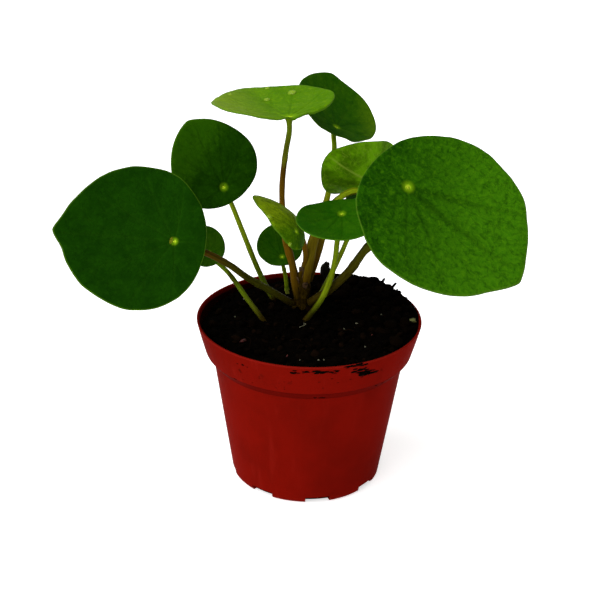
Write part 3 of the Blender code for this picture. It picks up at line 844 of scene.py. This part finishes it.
def veinLines(leaf):
    # pieces of line, each with the vein's width and strength at both ends
    lines = []
    size = min(1.0, max(leaf["half"]) / blade["fullSize"])
    wide = leaf.get("veinWide", 1.0)
    forked = leaf.get("forkStrength", 0.7)

    def trace(start, end, angleAt, strength):
        shares = np.linspace(start, end, 12)
        angles = np.array([angleAt(share) for share in shares])
        points = shares[:, None] * margin(leaf, angles)
        widths = blade["vein"] * wide * size * strength * (1 - blade["veinTaper"] * shares)
        depths = min(1.0, strength) * (1 - leaf.get("veinFade", 0.0) * shares)
        for i in range(len(points) - 1):
            lines.append((points[i:i + 2], widths[i:i + 2], depths[i:i + 2]))

    for number, vein in enumerate(leaf.get("veins", blade["veins"])):
        # a vein is its turn from the tip, or that turn and its strength
        degrees, main = vein if isinstance(vein, tuple) else (vein, 1.0 if number else 1.25)
        sway = blade["bend"] * math.sin(number * 2.4 + leaf["half"][0])
        trace(0.0, blade["reach"], lambda s: math.radians(degrees + sway * s * s), main)
        for order, fork in enumerate(blade["forks"]):
            side = 1 if (number + order) % 2 else -1
            spread = side * blade["forkSpread"] * (1.2 - 0.3 * order)

            def branch(s, fork=fork, spread=spread):
                opened = (s - fork) / (blade["reach"] - fork)
                return math.radians(degrees + sway * s * s + spread * opened ** 0.8)

            trace(fork, blade["reach"] - 0.04, branch, forked * min(main, 1.0))
    return lines


def veinMask(points, lines):
    mask = np.zeros(len(points))
    for (start, end), widths, depths in lines:
        run = end - start
        t = np.clip(((points - start) @ run) / max(run @ run, 1e-9), 0, 1)
        gap = np.linalg.norm(points - start - t[:, None] * run, axis=1)
        wide = widths[0] + (widths[1] - widths[0]) * t
        depth = depths[0] + (depths[1] - depths[0]) * t
        mask = np.maximum(mask, depth * np.exp(-(gap / wide) ** 2))
    return mask


def bladeGrid(leaf):
    # shares of the way from the joint to the margin, closer together at the rolled rim
    large = max(leaf["half"]) > blade["largeFrom"]
    rings, count = blade["largeGrid"] if large else blade["smallGrid"]
    size = max(leaf["half"]) + leaf["offset"] / 2
    rim = blade["thick"] / 2 / size
    shares = np.linspace(0.0, 1 - 1.02 * rim, rings)[1:]
    shares = np.concatenate([shares, 1 - rim * (1 - np.sin(np.radians([20, 45, 70, 90])))])
    return shares, count, rim


def bladeShape(name, leaf):
    shares, count, rim = bladeGrid(leaf)
    angles = np.linspace(0, 2 * math.pi, count, endpoint=False)
    flat = shares[:, None, None] * margin(leaf, angles)[None, :, :]
    points = np.concatenate([[[0.0, 0.0]], flat.reshape(-1, 2)])
    share = np.concatenate([[0.0], np.repeat(shares, count)])
    along, across = points[:, 0], points[:, 1]
    radius = np.hypot(along, across)
    bearing = np.arctan2(across, along)
    veins = veinMask(points, veinLines(leaf)) * np.clip((1 - share) * 12, 0, 1)
    seed = leaf["half"][0] * 3.7 + leaf["facing"]
    quilt = np.array([noise.noise(Vector((x, y, seed)) / blade["quiltSize"])
                      + 0.5 * noise.noise(Vector((x, y, seed + 9)) / blade["quiltSize"] * 2.2)
                      for x, y in points])
    depth, width = blade["dimple"]
    size = min(1.0, max(leaf["half"]) / blade["fullSize"])
    surface = bladeRise(leaf, along, across)
    surface = surface - depth * size * np.exp(-(radius / width / size) ** 2)
    quilting = blade["quilt"] * (1 + 1.4 * leaf.get("crinkle", 0.0))
    surface = surface + quilting * quilt * np.clip(radius / 6, 0, 1)
    waves = np.sin(5 * bearing + seed) + 0.7 * np.sin(8 * bearing - seed)
    surface = surface + blade["ripple"] * size * waves * share ** 5
    surface = surface - 0.35 * size * np.clip((share - 0.93) / 0.07, 0, 1) ** 2
    # the rim is a half round: both skins close in on each other over its width
    inward = np.clip((share - (1 - rim)) / rim, 0, 1)
    half = blade["thick"] / 2 * np.sqrt(np.clip(1 - inward ** 2, 0, 1))
    middle = surface - blade["thick"] / 2
    top = middle + half - blade["veinDepth"] * size * veins
    under = middle - half - blade["ridge"] * size * veins * (1 - share)
    upper = np.stack([along, across, top], axis=1)
    lower = np.stack([along, across, under], axis=1)[:-count]
    return upper, lower, shares, count, share, veins, bearing, radius, along, across


def makeBlade(name, leaf):
    upper, lower, shares, count, share, veins, bearing, radius, along, across = bladeShape(name, leaf)
    total = len(upper)
    faces = [(0, 1 + j, 1 + (j + 1) % count) for j in range(count)]
    faces += ringFaces(len(shares), count, 1)
    under = [(total, total + 1 + (j + 1) % count, total + 1 + j) for j in range(count)]
    under += [face[::-1] for face in ringFaces(len(shares) - 1, count, total + 1)]
    lastUpper = total - count
    lastLower = total + 1 + (len(shares) - 2) * count
    for j in range(count):
        k = (j + 1) % count
        under.append((lastUpper + j, lastLower + j, lastLower + k, lastUpper + k))
    matrix = np.array(bladeMatrix(leaf))
    points = np.concatenate([upper, lower])
    placed = points @ matrix[:3, :3].T + matrix[:3, 3]
    piece = meshPiece("leafBlade_" + name, placed * mm, faces + under, leafFinish(name, leaf))
    keep = np.concatenate([np.arange(total), np.arange(total - count)])
    addValues(piece, "share", share[keep])
    addValues(piece, "vein", veins[keep])
    addValues(piece, "joint", radius[keep])
    sideMask = np.concatenate([np.ones(total), np.zeros(total - count)])
    addValues(piece, "upper", sideMask)
    addValues(piece, "sheet", np.stack([along, across, 0 * along], axis=1)[keep])
    # a net that stretches out from the joint, as the small veins do
    net = np.stack([np.cos(bearing), np.sin(bearing), np.log1p(radius / 4.0) * 0.62], axis=1)
    addValues(piece, "net", net[keep])
    return piece


def leafFinish(name, leaf):
    gloss = {"Specular IOR Level": 0.012, "Specular Tint": (0.55, 1.0, 0.35, 1.0)}
    finish = Finish("leafSkin_" + name, gloss)
    dark, light = tones[leaf["tone"]]
    sheet = finish.attribute("sheet", "Vector")
    net = finish.attribute("net", "Vector")
    share = finish.attribute("share")
    vein = finish.attribute("vein")
    joint = finish.attribute("joint")
    upper = finish.attribute("upper")
    seed = float(sum(map(ord, name)))
    spot = finish.shift(sheet, (seed, seed, seed))
    cloud = finish.grain(spot, 0.16, 4.0, 0.62)
    fleck = finish.grain(spot, 0.62, 4.0, 0.6)
    fine = finish.grain(spot, 4.5, 2.0, 0.5)
    warp = finish.node("ShaderNodeTexNoise", {}, {"Vector": spot, "Scale": 0.35}, output="Color")
    bent = finish.shift(net, finish.stretch(warp, (0.16, 0.16, 0.10)))
    cells = finish.node("ShaderNodeTexVoronoi", {"feature": "DISTANCE_TO_EDGE"},
                        {"Vector": bent, "Scale": 8.5})
    thread = finish.rise(cells, 0.045, 0.0) * finish.rise(joint, 3.0, 8.0)
    crinkle = leaf.get("crinkle", 0.3)
    wrinkle = finish.grain(finish.shift(spot, finish.stretch(warp, (3.0, 3.0, 0.0))), 0.50, 6.0, 0.74)
    patch = finish.rise(cloud, 0.36, 0.64) * 0.6 + finish.rise(fleck, 0.46, 0.68) * 0.4
    colour = finish.mix(patch, dark, light)
    if "fade" in leaf:
        degrees, tone = leaf["fade"]
        way = (math.cos(math.radians(degrees)), math.sin(math.radians(degrees)), 0.0)
        run = finish.node("ShaderNodeVectorMath", {"operation": "DOT_PRODUCT"}, {0: sheet, 1: way},
                          output="Value")
        size = leaf["half"][0]
        start = leaf.get("fadeFrom", 0.1)
        mask = finish.rise(run + fleck * 6.0, start * size, 1.15 * size)
        colour = finish.mix(mask, colour, finish.mix(fleck, *tones[tone]))
    # paler veins are the leaf's own colour; darker veins are painted shade in the sunken vein grooves
    veinTone = leaf.get("veinTone", -0.4)
    if veinTone > 0:
        colour = finish.mix(vein * 0.35 * veinTone, colour, blade["veinPale"])
    else:
        deep = toned(dark, 0.45)
        colour = finish.mix(vein * 0.65 * -veinTone, colour, deep)
    # crinkled skin: painted shade in the fine creases and painted highlight on a few crests
    creaseShade = toned(dark, 0.70)
    colour = finish.mix(finish.rise(wrinkle, 0.52, 0.34) * 0.62 * crinkle, colour, creaseShade)
    crestHighlight = (light[0] * 2.6, light[1] * 1.7, light[2] * 1.5)
    colour = finish.mix(finish.rise(wrinkle, 0.52, 0.68) * 0.60 * crinkle, colour, crestHighlight)
    # painted shade along the sunken net of small veins
    colour = finish.mix(thread * 0.30, colour, creaseShade)
    # painted highlight: a thin paler line round the margin, where the rolled edge catches the light
    colour = finish.mix(finish.rise(share, 0.978, 0.992) * 0.65, colour, blade["marginHighlight"])
    size = blade["glowSize"] * min(1.0, leaf["half"][0] / blade["fullSize"]) ** 0.5 * leaf.get("glow", 1.0)
    halo = finish.rise(joint + fine * 0.3, size * 1.9, size * 0.4)
    colour = finish.mix(halo * 0.80, colour, blade["glow"])
    heart = finish.rise(joint + fine * 0.3, size * 0.85, size * 0.3)
    colour = finish.mix(heart * 0.80, colour, blade["glowHeart"])
    # the underside is duller and paler, with raised light veins
    under = blade["underColour"]
    mottle = leaf.get("mottle", 0.35)
    patch = finish.rise(cloud * 0.7 + fleck * 0.3, 0.38, 0.62) * mottle + (1 - mottle) * 0.6
    pale = finish.mix(patch, toned(under, 0.55), toned(under, 1.4))
    pale = finish.mix(0.15, pale, colour)
    pale = finish.mix(vein * 0.75, pale, blade["underVein"])
    pale = finish.mix(thread * 0.30, pale, blade["underVein"])
    colour = finish.mix(upper, pale, colour)
    height = fine * 0.25 + fleck * 1.1 + wrinkle * 1.2 - thread * 0.6
    roughness = 0.46 + fleck * 0.14
    return finish.use(colour, roughness, height, 0.35 + 0.35 * crinkle, 0.30)


def makeLeaves():
    for name, leaf in leaves.items():
        piece = makeBlade(name, leaf)
        settle(piece, ["leaf_" + name])


makeLeaves()
print("leaves made")


# the short woody stem in the middle
stem = {
    "path": [(-4.2, 11.4, 60.8), (-3.6, 12.0, 67.0), (-2.9, 12.9, 75.0), (-2.3, 13.5, 80.2)],
    "cap": (-2.1, 13.7, 81.9), "radius": 3.1, "rings": 3, "swell": 0.07,
    "crownRadius": 2.4, "crownClear": 1.4, "claspIn": 0.7, "claspDown": 2.0,
    # scars where old leaves sat: share of the height, and turn round the stem in radians
    "scars": [(0.34, 1.2), (0.46, 3.6), (0.56, 5.4), (0.66, 0.2), (0.74, 2.6), (0.82, 4.6)],
    "crown": (0.060, 0.050, 0.008),
    "dark": (0.0160, 0.0085, 0.0006), "brown": (0.052, 0.0300, 0.0012), "scar": (0.110, 0.080, 0.006),
}


def stemRelief(share, angle):
    # bark plates, and shallow oval scars where old leaves sat
    wave = np.cos(share * stem["rings"] * 2 * math.pi)
    rings = stem["radius"] * (0.06 - 0.10 * share + stem["swell"] * wave)
    rough = np.zeros(np.broadcast(share, angle).shape)
    for i in range(rough.shape[0]):
        for j in range(rough.shape[1]):
            a, s = angle[0, j], share[i, 0]
            spot = Vector((math.cos(a) * 2.2, math.sin(a) * 2.2, s * 9.0))
            rough[i, j] = 0.30 * noise.noise(spot) + 0.16 * noise.noise(spot * 2.7)
    scars = np.zeros_like(rough)
    for s, a in stem["scars"]:
        gap = np.angle(np.exp(1j * (angle - a)))
        scars += np.exp(-((share - s) / 0.055) ** 2 - (gap / 0.5) ** 2)
    return rings + rough - 0.45 * scars



def stemFinish():
    finish = Finish("woodyStem", {"Specular IOR Level": 0.01})
    skin = finish.attribute("skin", "Vector")
    run = finish.attribute("run")
    plates = finish.grain(finish.stretch(skin, (2.2, 2.2, 3.0)), 1.0, 5.0, 0.65)
    fine = finish.grain(finish.stretch(skin, (9.0, 9.0, 9.0)), 1.0, 3.0, 0.6)
    colour = finish.mix(finish.rise(plates, 0.40, 0.66), stem["dark"], stem["brown"])
    colour = finish.mix(finish.rise(fine, 0.60, 0.74) * 0.7, colour, stem["scar"])
    colour = finish.mix(finish.rise(run, 0.86, 1.0) * 0.6, colour, stem["crown"])
    return finish.use(colour, 0.62 + plates * 0.2, plates * 0.7 + fine * 0.3, 0.8, 0.5)


def makeStem(material):
    path = smoothPath(stem["path"] + [stem["cap"]], 72)
    shares = np.linspace(0, 1, len(path))
    radii = stem["radius"] * (1 - 0.75 * np.clip((shares - 0.93) / 0.07, 0, 1) ** 2)
    trunk = tube("stemWood", path, radii, material, around=44, relief=stemRelief)
    settle(trunk, ["main_stem"])


# stops give the colour at shares of the way from the foot to the blade
stalkColours = {
    "oliveDark": (0.046, 0.048, 0.0020), "olive": (0.110, 0.125, 0.0060), "rust": (0.170, 0.082, 0.0035),
    "rustDark": (0.070, 0.032, 0.0016), "green": (0.120, 0.190, 0.0040),
    "lightGreen": (0.210, 0.290, 0.0060),
    "brown": (0.036, 0.022, 0.0014), "brownOlive": (0.050, 0.042, 0.0024), "pale": (0.320, 0.350, 0.0500),
    "redBrown": (0.100, 0.052, 0.0022), "tan": (0.150, 0.108, 0.0050),
}

stalkForm = {
    "foot": 1.12, "taper": 0.22,    # radius factor at the foot, and what it loses by the top
    "knotLong": 0.022, "baseLong": 0.2, "flare": 0.75, "flareFrom": 0.965,    # shares of the length
    "neck": 2.2, "endGap": 0.35, "ribs": 5, "ribHigh": 0.035, "samples": 150,
}

# knots are a share of the length and a swell; a crown angle is where a stalk starts on the stem
stalks = {
    "left": dict(radius=1.3, crown=None, knots=((0.30, 0.16), (0.62, 0.10)),
                 stops=((0, "brown"), (0.25, "oliveDark"), (0.6, "brownOlive"),
                        (0.85, "rustDark"), (1, "olive")),
                 path=[(-7.0, 9.4, 69.6), (-10.5, 6.8, 72.9), (-19.1, 2, 80.3), (-25.2, -3, 86.2),
                       (-31.2, -8, 93.1), (-39.9, -14, 100.6)]),
    "right": dict(radius=1.6, crown=None, knots=((0.36, 0.14), (0.52, 0.12)),
                  stops=((0, "brown"), (0.3, "brownOlive"), (0.55, "oliveDark"), (0.8, "olive"),
                         (1, "green")),
                  path=[(0.3, 9.2, 70.2), (7.7, 4, 78.5), (15.4, -2, 89.5), (22.1, -11.5, 103.9),
                        (31.5, -17.5, 112.5), (34.2, -25, 124.0)]),
    "upper_left": dict(radius=1.05, crown=None, knots=((0.5, 0.06),),
                       stops=((0.10, "brown"), (0.14, "olive"), (0.3, "green"),
                              (0.7, "lightGreen"), (1, "lightGreen")),
                       path=[(-12.4, 21.0, 61.6), (-15.4, 20.3, 67.0), (-19.3, 19, 75.4),
                             (-23.0, 17, 85.1), (-27.8, 15, 98.8), (-32.1, 13.2, 110.9)]),
    "top": dict(radius=1.15, crown=None, base=(0.08, 0.30), knots=((0.24, 0.16), (0.76, 0.12)),
                stops=((0, "brown"), (0.08, "redBrown"), (0.3, "rust"), (0.55, "rust"),
                       (0.72, "rustDark"),
                       (0.78, "olive"), (1, "green")),
                path=[(-4.6, 11.2, 71.0), (-5.9, 11.8, 76.8), (-7.1, 13.0, 84.1), (-8.8, 14.3, 90.1),
                      (-10.4, 15.4, 95.4), (-11.8, 15, 109.9), (-11.8, 12.5, 121.3),
                      (-10.6, 8.5, 134.2), (-9.4, 5.5, 142.6)]),
    "top_back": dict(radius=1.15, crown=294, base=(0.2, 0.75), knots=((0.3, 0.1),),
                     stops=((0, "redBrown"), (0.2, "tan"), (0.4, "tan"), (0.6, "lightGreen"),
                            (1, "lightGreen")),
                     path=[(0.6, 11, 95.0), (3.4, 15, 103.1), (6.3, 22, 112.1), (8.1, 32, 121.4),
                           (8.6, 40, 126.0)]),
    "folded": dict(radius=1.15, crown=6, base=(0.2, 0.75), knots=((0.4, 0.1),),
                   stops=((0, "brown"), (0.2, "redBrown"), (0.4, "tan"), (0.6, "lightGreen"),
                          (1, "lightGreen")),
                   path=[(3.7, 14.8, 95.4), (6.9, 13.8, 105.4), (10.3, 12.4, 113.9),
                         (16.0, 10.0, 118.6), (21.2, 12.0, 117.0)]),
    "far_right": dict(radius=1.1, crown=78, base=(0.15, 0.75), knots=((0.35, 0.1),),
                      stops=((0, "redBrown"), (0.15, "olive"), (0.6, "olive"), (1, "green")),
                      path=[(2.8, 18, 93.2), (5.8, 20.8, 102.8), (10.3, 25, 109.4),
                            (20.5, 31, 111.0), (31.0, 36, 107.0)]),
    "young": dict(radius=1.05, crown=235, base=(0, 0), knots=(),
                  stops=((0, "brown"), (0.3, "redBrown"), (0.6, "rust"), (0.85, "olive"), (1, "green")),
                  path=[(-2.0, 10.0, 88.0), (-2.4, 6.8, 95.0), (-3.9, 3.4, 101.0)]),
    "centre": dict(radius=1.1, crown=None, knots=((0.35, 0.06),),
                   stops=((0.10, "brown"), (0.2, "oliveDark"), (0.38, "lightGreen"), (1, "green")),
                   path=[(-3.8, 2.8, 61.6), (-0.9, 1.9, 66.4), (4.5, 0.6, 75.4), (7.9, -0.6, 84.7),
                         (9.6, -1.3, 93.7), (10.3, -1.4, 102.6)]),
    "low_right": dict(radius=1.0, crown=None, knots=(),
                      stops=((0, "brown"), (0.35, "lightGreen"), (1, "lightGreen")),
                      path=[(1.6, 20.2, 61.6), (3.4, 20, 67.0), (8.7, 20.2, 78.4),
                            (12.7, 21, 87.9), (15.4, 21.6, 94.2), (20.8, 22.4, 99.8)]),
    "small_left": dict(radius=0.95, crown=None, knots=((0.62, 0.12),),
                       stops=((0.18, "brown"), (0.3, "olive"), (0.5, "green"),
                              (0.64, "oliveDark"), (0.7, "green"), (1, "green")),
                       path=[(-14.6, -2.4, 61.6), (-19.3, -0.6, 67.8), (-24.6, 1.4, 74.3),
                             (-30.4, 5.8, 80.8), (-34.6, 9.8, 84.0)]),
    "small_back": dict(radius=0.85, crown=None, knots=((0.35, 0.2), (0.75, 0.14)),
                       stops=((0.22, "brown"), (0.30, "pale"), (0.42, "green"),
                              (0.5, "lightGreen"), (1, "green")),
                       path=[(-8.7, 23.6, 61.6), (-9.3, 22.6, 67.8), (-10.1, 21.6, 75.6)]),
}


def stalkPath(name):
    stalk = stalks[name]
    path = list(stalk["path"])
    if stalk["crown"] is not None:
        turn = math.radians(stalk["crown"])
        x, y, z = stem["path"][-1]
        out = stem["crownRadius"]
        foot = (x + out * math.cos(turn), y + out * math.sin(turn), z + stem["crownClear"])
        path.insert(0, foot)
        inner = stem["claspIn"] * out
        path.insert(0, (x + inner * math.cos(turn), y + inner * math.sin(turn), z - stem["claspDown"]))
    matrix = bladeMatrix(leaves[name])
    under = matrix.to_3x3() @ Vector((0.0, 0.0, -1.0))
    join = matrix.translation
    path.append(tuple(join + under * (blade["thick"] + stalkForm["neck"] * stalk["radius"])))
    path.append(tuple(join + under * (blade["thick"] + stalkForm["endGap"])))
    return smoothPath(path, stalkForm["samples"])


def stalkFinish(name, stalk):
    gloss = {"Specular IOR Level": 0.02, "Specular Tint": (0.8, 0.9, 0.3, 1.0)}
    finish = Finish("stalkSkin_" + name, gloss)
    skin = finish.attribute("skin", "Vector")
    run = finish.attribute("run")
    stops = [(place, stalkColours[tone]) for place, tone in stalk["stops"]]
    streak = finish.grain(finish.stretch(skin, (1.6, 1.6, 0.7)), 1.0, 4.0, 0.6)
    speck = finish.grain(finish.stretch(skin, (5.0, 5.0, 9.0)), 1.0, 3.0, 0.6)
    moved = run + (streak - 0.5) * 0.16
    colour = finish.node("ShaderNodeValToRGB", {"stops": stops}, {"Fac": moved})
    darker = finish.node("ShaderNodeMix", {"data_type": "RGBA", "blend_type": "MULTIPLY"},
                         {0: finish.rise(streak, 0.58, 0.36) * 0.75, 6: colour, 7: (0.45, 0.40, 0.35, 1.0)},
                         output=2)
    colour = finish.mix(finish.rise(speck, 0.64, 0.76) * 0.4, darker, (0.16, 0.15, 0.035))
    return finish.use(colour, 0.42 + streak * 0.2, streak * 0.6 + speck * 0.4, 0.6, 0.3)


def makeStalk(name):
    stalk = stalks[name]
    path = stalkPath(name)
    shares = np.linspace(0, 1, len(path))
    form = stalkForm
    radii = stalk["radius"] * (form["foot"] - form["taper"] * shares)
    for place, swell in stalk["knots"]:
        radii = radii * (1 + swell * np.exp(-((shares - place) / form["knotLong"]) ** 2))
    # stalks from the crown are broad at the base, where they clasp each other
    middle, swell = stalk.get("base", (0.25, 0.45 if stalk["crown"] is not None else 0.0))
    radii = radii * (1 + swell * np.exp(-((shares - middle) / form["baseLong"]) ** 2))
    # it spreads into the blade at the top
    spread = np.clip((shares - form["flareFrom"]) / (1 - form["flareFrom"]), 0, 1)
    radii = radii * (1 + form["flare"] * spread ** 2)
    seed = float(sum(map(ord, name)))
    radii = radii * np.array([1 + 0.05 * noise.noise(Vector((s * 14, seed, 0.0))) for s in shares])

    def relief(share, angle):
        # shallow ribs along the stalk
        return form["ribHigh"] * np.sin(form["ribs"] * angle + 2.0 * share) * stalk["radius"]

    piece = tube("leafStalk_" + name, path, radii, stalkFinish(name, stalk), around=24, relief=relief)
    settle(piece, ["petiole_" + name])


# papery scales at the top of the stem: turn, height, length and width
scales = {
    "seed": 12, "out": 3.0, "thick": 0.14, "colour": (0.090, 0.045, 0.014),
    "list": [(20, 79.5, 6.0, 2.4), (95, 80.5, 5.0, 2.2), (170, 79.0, 5.5, 2.3), (250, 80.0, 6.5, 2.5),
             (315, 79.2, 5.2, 2.2), (215, 77.0, 4.6, 2.4), (285, 75.5, 4.2, 2.2)],
}


def makeScales():
    rng = random.Random(scales["seed"])
    lumps = []
    for degrees, height, length, width in scales["list"]:
        turn = math.radians(degrees)
        outward = Vector((math.cos(turn), math.sin(turn), 0.0))
        sideways = Vector((-math.sin(turn), math.cos(turn), 0.0))
        share = (height - 60.8) / 19.4
        base = Vector((-4.2 + 1.9 * share, 11.4 + 2.1 * share, height)) + outward * scales["out"]
        rows, columns = 9, 7
        points = []
        for skinSide in (0.0, -scales["thick"]):
            for i in range(rows):
                t = i / (rows - 1)
                half = 0.5 * width * math.sin(math.pi * (0.22 + 0.78 * (1 - t) ** 0.8)) + 0.05
                for j in range(columns):
                    s = 2 * j / (columns - 1) - 1
                    lean = 0.55 * t * t * length * 0.35 + skinSide - 0.35 * s * s
                    crinkle = 0.10 * rng.uniform(-1, 1)
                    p = base + sideways * half * s + outward * (lean + crinkle)
                    points.append(tuple(p + Vector((0, 0, length * t - 0.8))))
        faces = []
        layer = rows * columns
        for i in range(rows - 1):
            for j in range(columns - 1):
                a = i * columns + j
                front = (a, a + 1, a + columns + 1, a + columns)
                faces.append(front)
                faces.append(tuple(layer + v for v in front[::-1]))
        edge = list(range(columns))
        edge += [i * columns + columns - 1 for i in range(1, rows)]
        edge += [(rows - 1) * columns + j for j in range(columns - 2, -1, -1)]
        edge += [i * columns for i in range(rows - 2, 0, -1)]
        for a, b in zip(edge, edge[1:] + edge[:1]):
            faces.append((b, a, layer + a, layer + b))
        lumps.append((points, faces, (0.0, 0.0, 0.0), 0.0))
    piece = gather("stemScales", lumps, gritFinish("paperyScale", scales["colour"]))
    settle(piece)


def makeStalks():
    makeStem(stemFinish())
    makeScales()
    for name in stalks:
        makeStalk(name)


makeStalks()
print("stem and stalks made")


# water drops on the young leaves: leaf, place on its blade, and radius
drops = {
    "list": [("top", 27.5, -12.8, 1.9), ("top", 27.0, -1.8, 1.4), ("top", 39.0, -6.8, 1.1),
             ("top", 33.0, 11.2, 1.2), ("young", 7.9, 8.6, 0.9), ("young", -4.6, 5.2, 0.8)],
    "flatness": 0.5, "narrow": 0.9, "sink": 0.15, "lift": 0.05,
}


def makeDrops():
    # painted light: the drops' pale yellow-green stands in for their highlight and the leaf seen through them
    finish = Finish("clearWater", {"IOR": 1.33, "Specular IOR Level": 0.25, "Alpha": 0.5,
                                   "Base Color": (0.34, 0.52, 0.03, 1.0)})
    cloud = finish.grain(finish.place(), 300.0, 2.0, 0.5)
    material = finish.use(None, 0.03 + cloud * 0.04)
    lumps = []
    for name, along, across, radius in drops["list"]:
        leaf = leaves[name]
        matrix = bladeMatrix(leaf)
        bm = bmesh.new()
        bmesh.ops.create_icosphere(bm, subdivisions=3, radius=1.0)
        points = []
        for vertex in bm.verts:
            x = along + radius * vertex.co.x
            y = across + radius * vertex.co.y * drops["narrow"]
            ground = float(bladeRise(leaf, np.array(x), np.array(y)))
            lift = radius * drops["flatness"] * max(vertex.co.z, -drops["sink"]) + drops["lift"]
            points.append(tuple(matrix @ Vector((x, y, ground + lift))))
        faces = [tuple(v.index for v in face.verts) for face in bm.faces]
        bm.free()
        lumps.append((points, faces, (0.0, 0.0, 0.0), 0.0))
    settle(gather("waterDrops", lumps, material))


makeDrops()


# Compost stuck to the collar. Each smear has its bearing from the front and spread in degrees,
# its height and spread, how many bits it has, and their size.
collarDirt = {
    "seed": 33,
    "smears": [(4, 12, 66.2, 0.7, 20, 0.72), (7, 7, 66.6, 0.4, 8, 1.0), (31, 5, 62.9, 1.0, 14, 1.05),
               (27, 4, 64.4, 0.5, 7, 0.75), (22, 7, 67.9, 0.5, 14, 0.85), (26, 5, 65.6, 0.8, 8, 0.8),
               (7, 4, 52.6, 0.4, 6, 0.75), (42, 3, 54.5, 0.5, 2, 0.6),
               (-43, 2, 56.0, 0.4, 2, 0.55), (-36, 5, 64.6, 0.8, 4, 0.5), (17, 12, 61.0, 2.0, 5, 0.35),
               (-12, 25, 58.0, 4.0, 9, 0.28), (150, 40, 60.0, 4.0, 14, 0.4), (235, 30, 58.0, 4.0, 10, 0.4)],
    "flat": 0.30, "wide": 1.7, "low": 0.55,
    # twigs: bearing and height of both ends, and radius
    "twigs": [(25, 64.2, 33, 62.6, 0.22), (29, 64.8, 32, 61.8, 0.16), (9, 66.8, 14, 65.4, 0.16)],
}


def onWall(degrees, height, lift):
    turn = math.radians(degrees - 90)
    reach = float(potSide(height)) + lift
    return Vector((reach * math.cos(turn), reach * math.sin(turn), height))


def makeCollarDirt():
    rng = random.Random(collarDirt["seed"])
    lumps = []
    for middle, spread, height, drift, count, size in collarDirt["smears"]:
        for _ in range(count):
            degrees = middle + rng.uniform(-1, 1) * spread
            place = onWall(degrees, height + rng.uniform(-1, 1) * drift, 0.03)
            outward = Vector((place.x, place.y, 0.0)).normalized()
            sideways = Vector((-outward.y, outward.x, 0.0))
            points, faces = lumpShape(rng, size * rng.uniform(0.5, 1.2), 0.8)
            # pressed flat against the wall and drawn out sideways
            pressed = []
            for p in points:
                p = Vector(p)
                out, side = p @ outward, p @ sideways
                pressed.append(tuple(outward * out * collarDirt["flat"] + sideways * side * collarDirt["wide"]
                                     + Vector((0.0, 0.0, p.z * collarDirt["low"]))))
            lumps.append((pressed, faces, tuple(place), 0.2 * rng.random()))
    for fromDegrees, fromHeight, toDegrees, toHeight, radius in collarDirt["twigs"]:
        line = []
        for i in range(7):
            t = i / 6
            degrees = fromDegrees + (toDegrees - fromDegrees) * t
            line.append(tuple(onWall(degrees, fromHeight + (toHeight - fromHeight) * t, 0.35)))
        lumps.append(threadShape(line, radius, 5) + ((0.0, 0.0, 0.0), 0.0))
    settle(gather("collarCrumbs", lumps, bpy.data.materials["darkCompost"]))


makeCollarDirt()
print("small pieces made")


# the plain floor, and the air round it
stage = {"size": 8.0, "floor": (0.90, 0.90, 0.905), "air": (1.0, 1.0, 1.0), "airStrength": 0.28,
         "floorGlow": 0.62, "drop": 0.0002}


def makeFloor():
    glow = {"Specular IOR Level": 0.1, "Emission Color": (1.0, 1.0, 1.0, 1.0),
            "Emission Strength": stage["floorGlow"]}
    finish = Finish("paleFloor", glow)
    cloud = finish.grain(finish.place(), 3.0, 3.0, 0.5)
    shade = finish.mix(cloud * 0.3, stage["floor"], toned(stage["floor"], 0.99))
    material = finish.use(shade, 0.9)
    half = stage["size"] / 2
    corners = [(x * half, y * half, -stage["drop"]) for x, y in ((-1, -1), (1, -1), (1, 1), (-1, 1))]
    meshPiece("studioFloor", corners, [(0, 1, 2, 3)], material)


# soft suns: the direction they shine from, the width of the source in degrees, and strength
lights = {
    "key": dict(at=(-0.95, -0.54, 1.06), width=80, strength=3.0),
    "fill": dict(at=(0.50, -0.50, 1.00), width=90, strength=0.10),
    "back": dict(at=(0.10, 0.60, 1.10), width=90, strength=0.50),
}


def makeLights():
    world = bpy.data.worlds.new("studioAir")
    world.use_nodes = True
    air = world.node_tree.nodes["Background"]
    air.inputs["Color"].default_value = (*stage["air"], 1.0)
    air.inputs["Strength"].default_value = stage["airStrength"]
    bpy.context.scene.world = world
    for name, light in lights.items():
        data = bpy.data.lights.new(name, "SUN")
        data.angle = math.radians(light["width"])
        data.energy = light["strength"]
        lamp = bpy.data.objects.new(name + "Light", data)
        lamp.location = light["at"]
        lamp.rotation_euler = (-Vector(light["at"])).to_track_quat("-Z", "Y").to_euler()
        bpy.context.scene.collection.objects.link(lamp)


# where the view is from in metres, its lens in millimetres and its turns in degrees
camera = {"at": (0.0, -0.4977, 0.3024), "lens": 82.44, "sensor": 36.0,
          "down": 24.51, "yaw": 0.44, "roll": 1.24}


def makeCamera():
    data = bpy.data.cameras.new("camera")
    data.lens = camera["lens"]
    data.sensor_width = camera["sensor"]
    view = bpy.data.objects.new("camera", data)
    turn = Matrix.Rotation(math.radians(camera["yaw"]), 4, "Z")
    turn @= Matrix.Rotation(math.radians(90 - camera["down"]), 4, "X")
    turn @= Matrix.Rotation(math.radians(camera["roll"]), 4, "Z")
    view.matrix_world = Matrix.Translation(camera["at"]) @ turn
    bpy.context.scene.collection.objects.link(view)
    bpy.context.scene.camera = view


makeFloor()
makeLights()
makeCamera()
bpy.context.scene.view_settings.view_transform = "Standard"
print("studio made")
